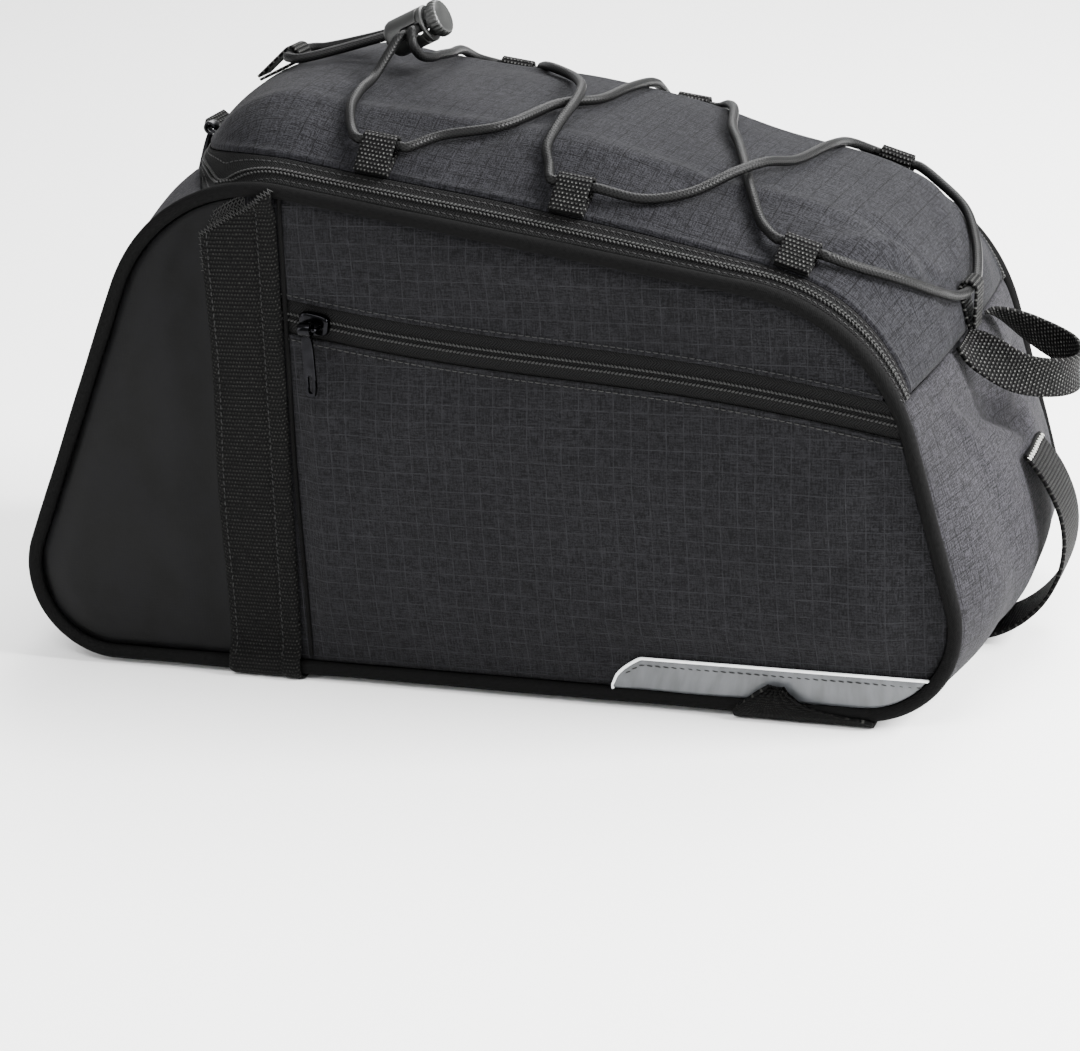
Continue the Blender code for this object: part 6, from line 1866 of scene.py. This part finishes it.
inner_r = BUTTON_RADIUS + BUTTON_CLEARANCE
BARREL_PROFILE = (
    (0.0, 0.0), (LOCK_RADIUS - 0.0026, 0.0), (LOCK_RADIUS - 0.0014, 0.0004), (LOCK_RADIUS - 0.0005, 0.0012),
    (LOCK_RADIUS, 0.0026), (LOCK_RADIUS, 0.0040), (LOCK_RADIUS, LOCK_LENGTH - 0.0030),
    (LOCK_RADIUS - 0.0005, LOCK_LENGTH - 0.0028), (LOCK_RADIUS - 0.0005, LOCK_LENGTH - 0.0022),
    (LOCK_RADIUS, LOCK_LENGTH - 0.0020), (LOCK_RADIUS, LOCK_LENGTH - 0.0006),
    (LOCK_RADIUS - 0.0006, LOCK_LENGTH),
    (inner_r, LOCK_LENGTH), (inner_r, LOCK_FLOOR), (0.0, LOCK_FLOOR),
)
foot = LOCK_FLOOR + BUTTON_TRAVEL + 2 * GAP
cap_under = LOCK_LENGTH + BUTTON_TRAVEL + GAP
cap_top = cap_under + BUTTON_CAP
BUTTON_PROFILE = (
    (0.0, foot), (BUTTON_RADIUS, foot), (BUTTON_RADIUS, cap_under), (LOCK_RADIUS - 0.0003, cap_under),
    (LOCK_RADIUS, cap_under + 0.0003), (LOCK_RADIUS, cap_top - 0.0014),
    (LOCK_RADIUS - 0.0003, cap_top - 0.0007), (LOCK_RADIUS - 0.0008, cap_top - 0.0002),
    (LOCK_RADIUS - 0.0014, cap_top), (0.0, cap_top - 0.0003),
)
# Columns: node, profile, number of flutes, how much longer its hole is, body
LOCK_PARTS = (
    ("cord_lock_barrel", BARREL_PROFILE, 0, 0.0, "bag"),
    ("cord_lock_button", BUTTON_PROFILE, 24, BUTTON_TRAVEL, "lock_button"),
)
for name, profile, flutes, longer, body in LOCK_PARTS:
    shape = lathe(profile, 96, flutes, 0.0004, cap_under, cap_top)
    piece = skin(name + "_moulding", shape, around=True, weld=True)
    face_out(piece.data)
    hole_size = (CORD_HOLE_WIDTH, 4 * LOCK_RADIUS, CORD_HOLE_LENGTH + longer)
    cut_through(piece, hole_size, (0, 0, CORD_HOLE_AT + longer / 2))
    piece.data.transform(lock_place)
    dress(sharp(piece), "plastic", [name], body)
print("cord lock made")

# %% [markdown]
# ## Zipper sliders and pullers
# A slider is a small cast body with rounded shoulders and a wire bail over it, and its puller is a slim
# plate with an eye round the bail. Each is worked out in its own axes and moved to its place in the mesh.

# %% Sliders and pullers
SLIDER_LENGTH = 0.012
SLIDER_WIDTH = 0.0085
SLIDER_THICK = 0.003
BAIL_THICK = 0.0016
BAIL_WINDOW = 0.0050
BAIL_RISE = SLIDER_THICK + BAIL_WINDOW + BAIL_THICK / 2
PULLER_EYE = 0.0016
PULLER_RIM = 0.0011
PULLER_LENGTH = 0.026
PULLER_WIDTH = 0.0046
PULLER_HALF = 0.0009
POCKET_SLIDER_X = -0.0525


def moved(points, place):
    """Points in a piece's own axes, moved to its place."""
    matrix = np.array(place)
    return points @ matrix[:3, :3].T + matrix[:3, 3]


def slider_body():
    """A rounded block whose waist is drawn in: a superellipse in plan, swept up in rings that shrink to the
    top."""
    angle = full_turn(64)
    plan_x = drawn_out(np.cos(angle), 0.45) * SLIDER_LENGTH / 2
    waist = 1 - 0.16 * np.cos(angle) * (np.cos(angle) > 0)
    plan_y = drawn_out(np.sin(angle), 0.45) * SLIDER_WIDTH / 2 * waist
    level = np.array([0.0, 0.0, 0.02, 0.2, 0.62, 0.85, 0.97, 1.0, 1.0])
    grow = np.array([0.0, 0.92, 0.99, 1.0, 1.0, 0.97, 0.88, 0.72, 0.0])
    x, y = plan_x[None, :] * grow[:, None], plan_y[None, :] * grow[:, None]
    return np.stack([x, y, level[:, None] * SLIDER_THICK + 0 * x], axis=-1)


def ring_plate(outline_out, outline_in, half):
    """A flat ring between two outlines, with rounded edges: a closed section carried round."""
    share = np.array([0.0, 0.12, 0.88, 1.0, 1.0, 0.88, 0.12, 0.0])
    level = np.array([0.75, 1.0, 1.0, 0.75, -0.75, -1.0, -1.0, -0.75]) * half
    flat = outline_out[:, None] * (1 - share)[None, :, None] + outline_in[:, None] * share[None, :, None]
    return np.concatenate([flat, np.broadcast_to(level[None, :, None], (*flat.shape[:2], 1))], axis=2)


def stadium(half_width, low, high):
    """A long rounded outline between two heights: a half circle at each end, from a superellipse."""
    angle = full_turn(48)
    x = half_width * drawn_out(np.cos(angle), 0.5)
    y = (low + high) / 2 + (high - low) / 2 * drawn_out(np.sin(angle), 0.475)
    return np.stack([x, y], axis=1)


def make_slider(node, place):
    """The cast body, which stands for its node, and the bail over it."""
    casting = skin(node + "_casting", moved(slider_body(), place), around=True, weld=True)
    dress(sharp(casting, 50), "metal", [node])
    half = SLIDER_LENGTH / 2 - 0.0016 - BAIL_THICK / 2
    angle = np.linspace(0, math.pi, 40)
    x = -half * drawn_out(np.cos(angle), 0.4)
    z = SLIDER_THICK - 0.0006 + (BAIL_RISE - SLIDER_THICK + 0.0006) * np.sin(angle) ** 0.4
    path = moved(np.stack([x, 0 * x, z], axis=1), place)
    bail = tube(node + "_bail", path, BAIL_THICK / 2, 14, reference=tuple(np.array(place)[:3, 1]))
    return dress(bail, "metal")


def metal_ring(name, section, place):
    """A closed ring of metal in its place, with its faces turned out and its edges sharp."""
    piece = skin(name, moved(section, place), around=True, ring=True)
    face_out(piece.data)
    return sharp(piece)


def make_puller(node, place, body):
    """A slim plate that hangs along -Y from an eye round the bail, with a slot near its end."""
    outer = PULLER_EYE + PULLER_RIM
    angle = full_turn(40)
    circle = np.stack([np.cos(angle), np.sin(angle)], axis=1)
    eye = ring_plate(circle * outer, circle * PULLER_EYE, PULLER_WIDTH / 2)
    dress(metal_ring(node + "_eye", eye, place), "metal", [node], body)
    # The plate lies in the plane of the bail's axis, so its outline is turned from XY to ZY
    plate_out = stadium(PULLER_WIDTH / 2, -PULLER_LENGTH, -outer + 0.0006)
    plate_in = stadium(PULLER_WIDTH / 2 - 0.0014, -PULLER_LENGTH + 0.0016, -PULLER_LENGTH + 0.0085)
    plate = ring_plate(plate_out, plate_in, PULLER_HALF)
    return dress(metal_ring(node + "_plate", plate[..., ::-1], place), "metal", (), body)


def slider_place(position, along, out):
    """A place whose X runs along the zipper and whose Z points out of it."""
    side = np.cross(out, along)
    return Matrix.Translation(Vector(position)) @ Matrix((along, side, out)).transposed().to_4x4()


def clear_lean(bail):
    """Angle from the vertical at which a hanging puller first clears the bulging front wall."""
    s = np.linspace(BASE_END, LID_START, 200)
    strip = LID_START + np.linspace(0, ZIP_BAND, 20)
    face = np.concatenate([band_point(front_height, s, 0.0), band_point(lid_height, strip, 0.0)])
    shaft = np.linspace(2 * PULLER_EYE, PULLER_LENGTH, 30)
    leans = np.radians(np.linspace(0, 60, 121))
    x = bail[0] - shaft * np.sin(leans)[:, None]
    z = bail[2] - shaft * np.cos(leans)[:, None]
    near = np.hypot(x[..., None] - face[:, 0], z[..., None] - face[:, 2]).min(axis=(1, 2))
    ahead = (x < np.interp(z, face[:, 2], face[:, 0])).all(axis=1)
    return leans[np.argmax((near > PULLER_HALF + 2 * GAP) & ahead)]


slope = (zip_line(POCKET_SLIDER_X + 0.001) - zip_line(POCKET_SLIDER_X - 0.001)) / 0.002
along = np.array([1.0, 0.0, slope]) / math.hypot(1, slope)
out = np.array([0.0, -1.0, 0.0])
seat = np.array([POCKET_SLIDER_X, -(BAG_WIDTH / 2 + GAP), zip_line(POCKET_SLIDER_X)])
make_slider("pocket_slider", slider_place(seat, along, out))
bail = seat + out * BAIL_RISE
hang = Matrix.Translation(Vector(bail)) @ Matrix(((0, 0, 1), (1, 0, 0), (0, 1, 0))).to_4x4()
make_puller("pocket_puller", hang, "pocket_zipper_puller")

s = front_seam(0.0) + ZIP_BAND / 2 + 0.0005
out = out_of(lid_height, s, 0.0)
seat = band_point(lid_height, s, 0.0) + out * (GAP + 0.0002)
make_slider("main_slider", slider_place(seat, np.array([0.0, 1.0, 0.0]), out))
bail = seat + out * BAIL_RISE
hang = Matrix.Translation(Vector(bail)) @ Matrix.Rotation(clear_lean(bail), 4, "Y")
make_puller("main_puller", hang @ Matrix(((1, 0, 0), (0, 0, -1), (0, 1, 0))).to_4x4(), "lid_zipper_puller")
print("hardware made")

# %% [markdown]
# The dressed bag has to fill the same box as the imported model. The imported box is printed first, and
# the last line prints how far the dressed bag's box lies past it, in millimetres.

low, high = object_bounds()
past = [round((a - b) * 1000, 1) for a, b in zip((*low, *high), (*cad_low, *cad_high))]
print("visual box less packed box, mm", past)
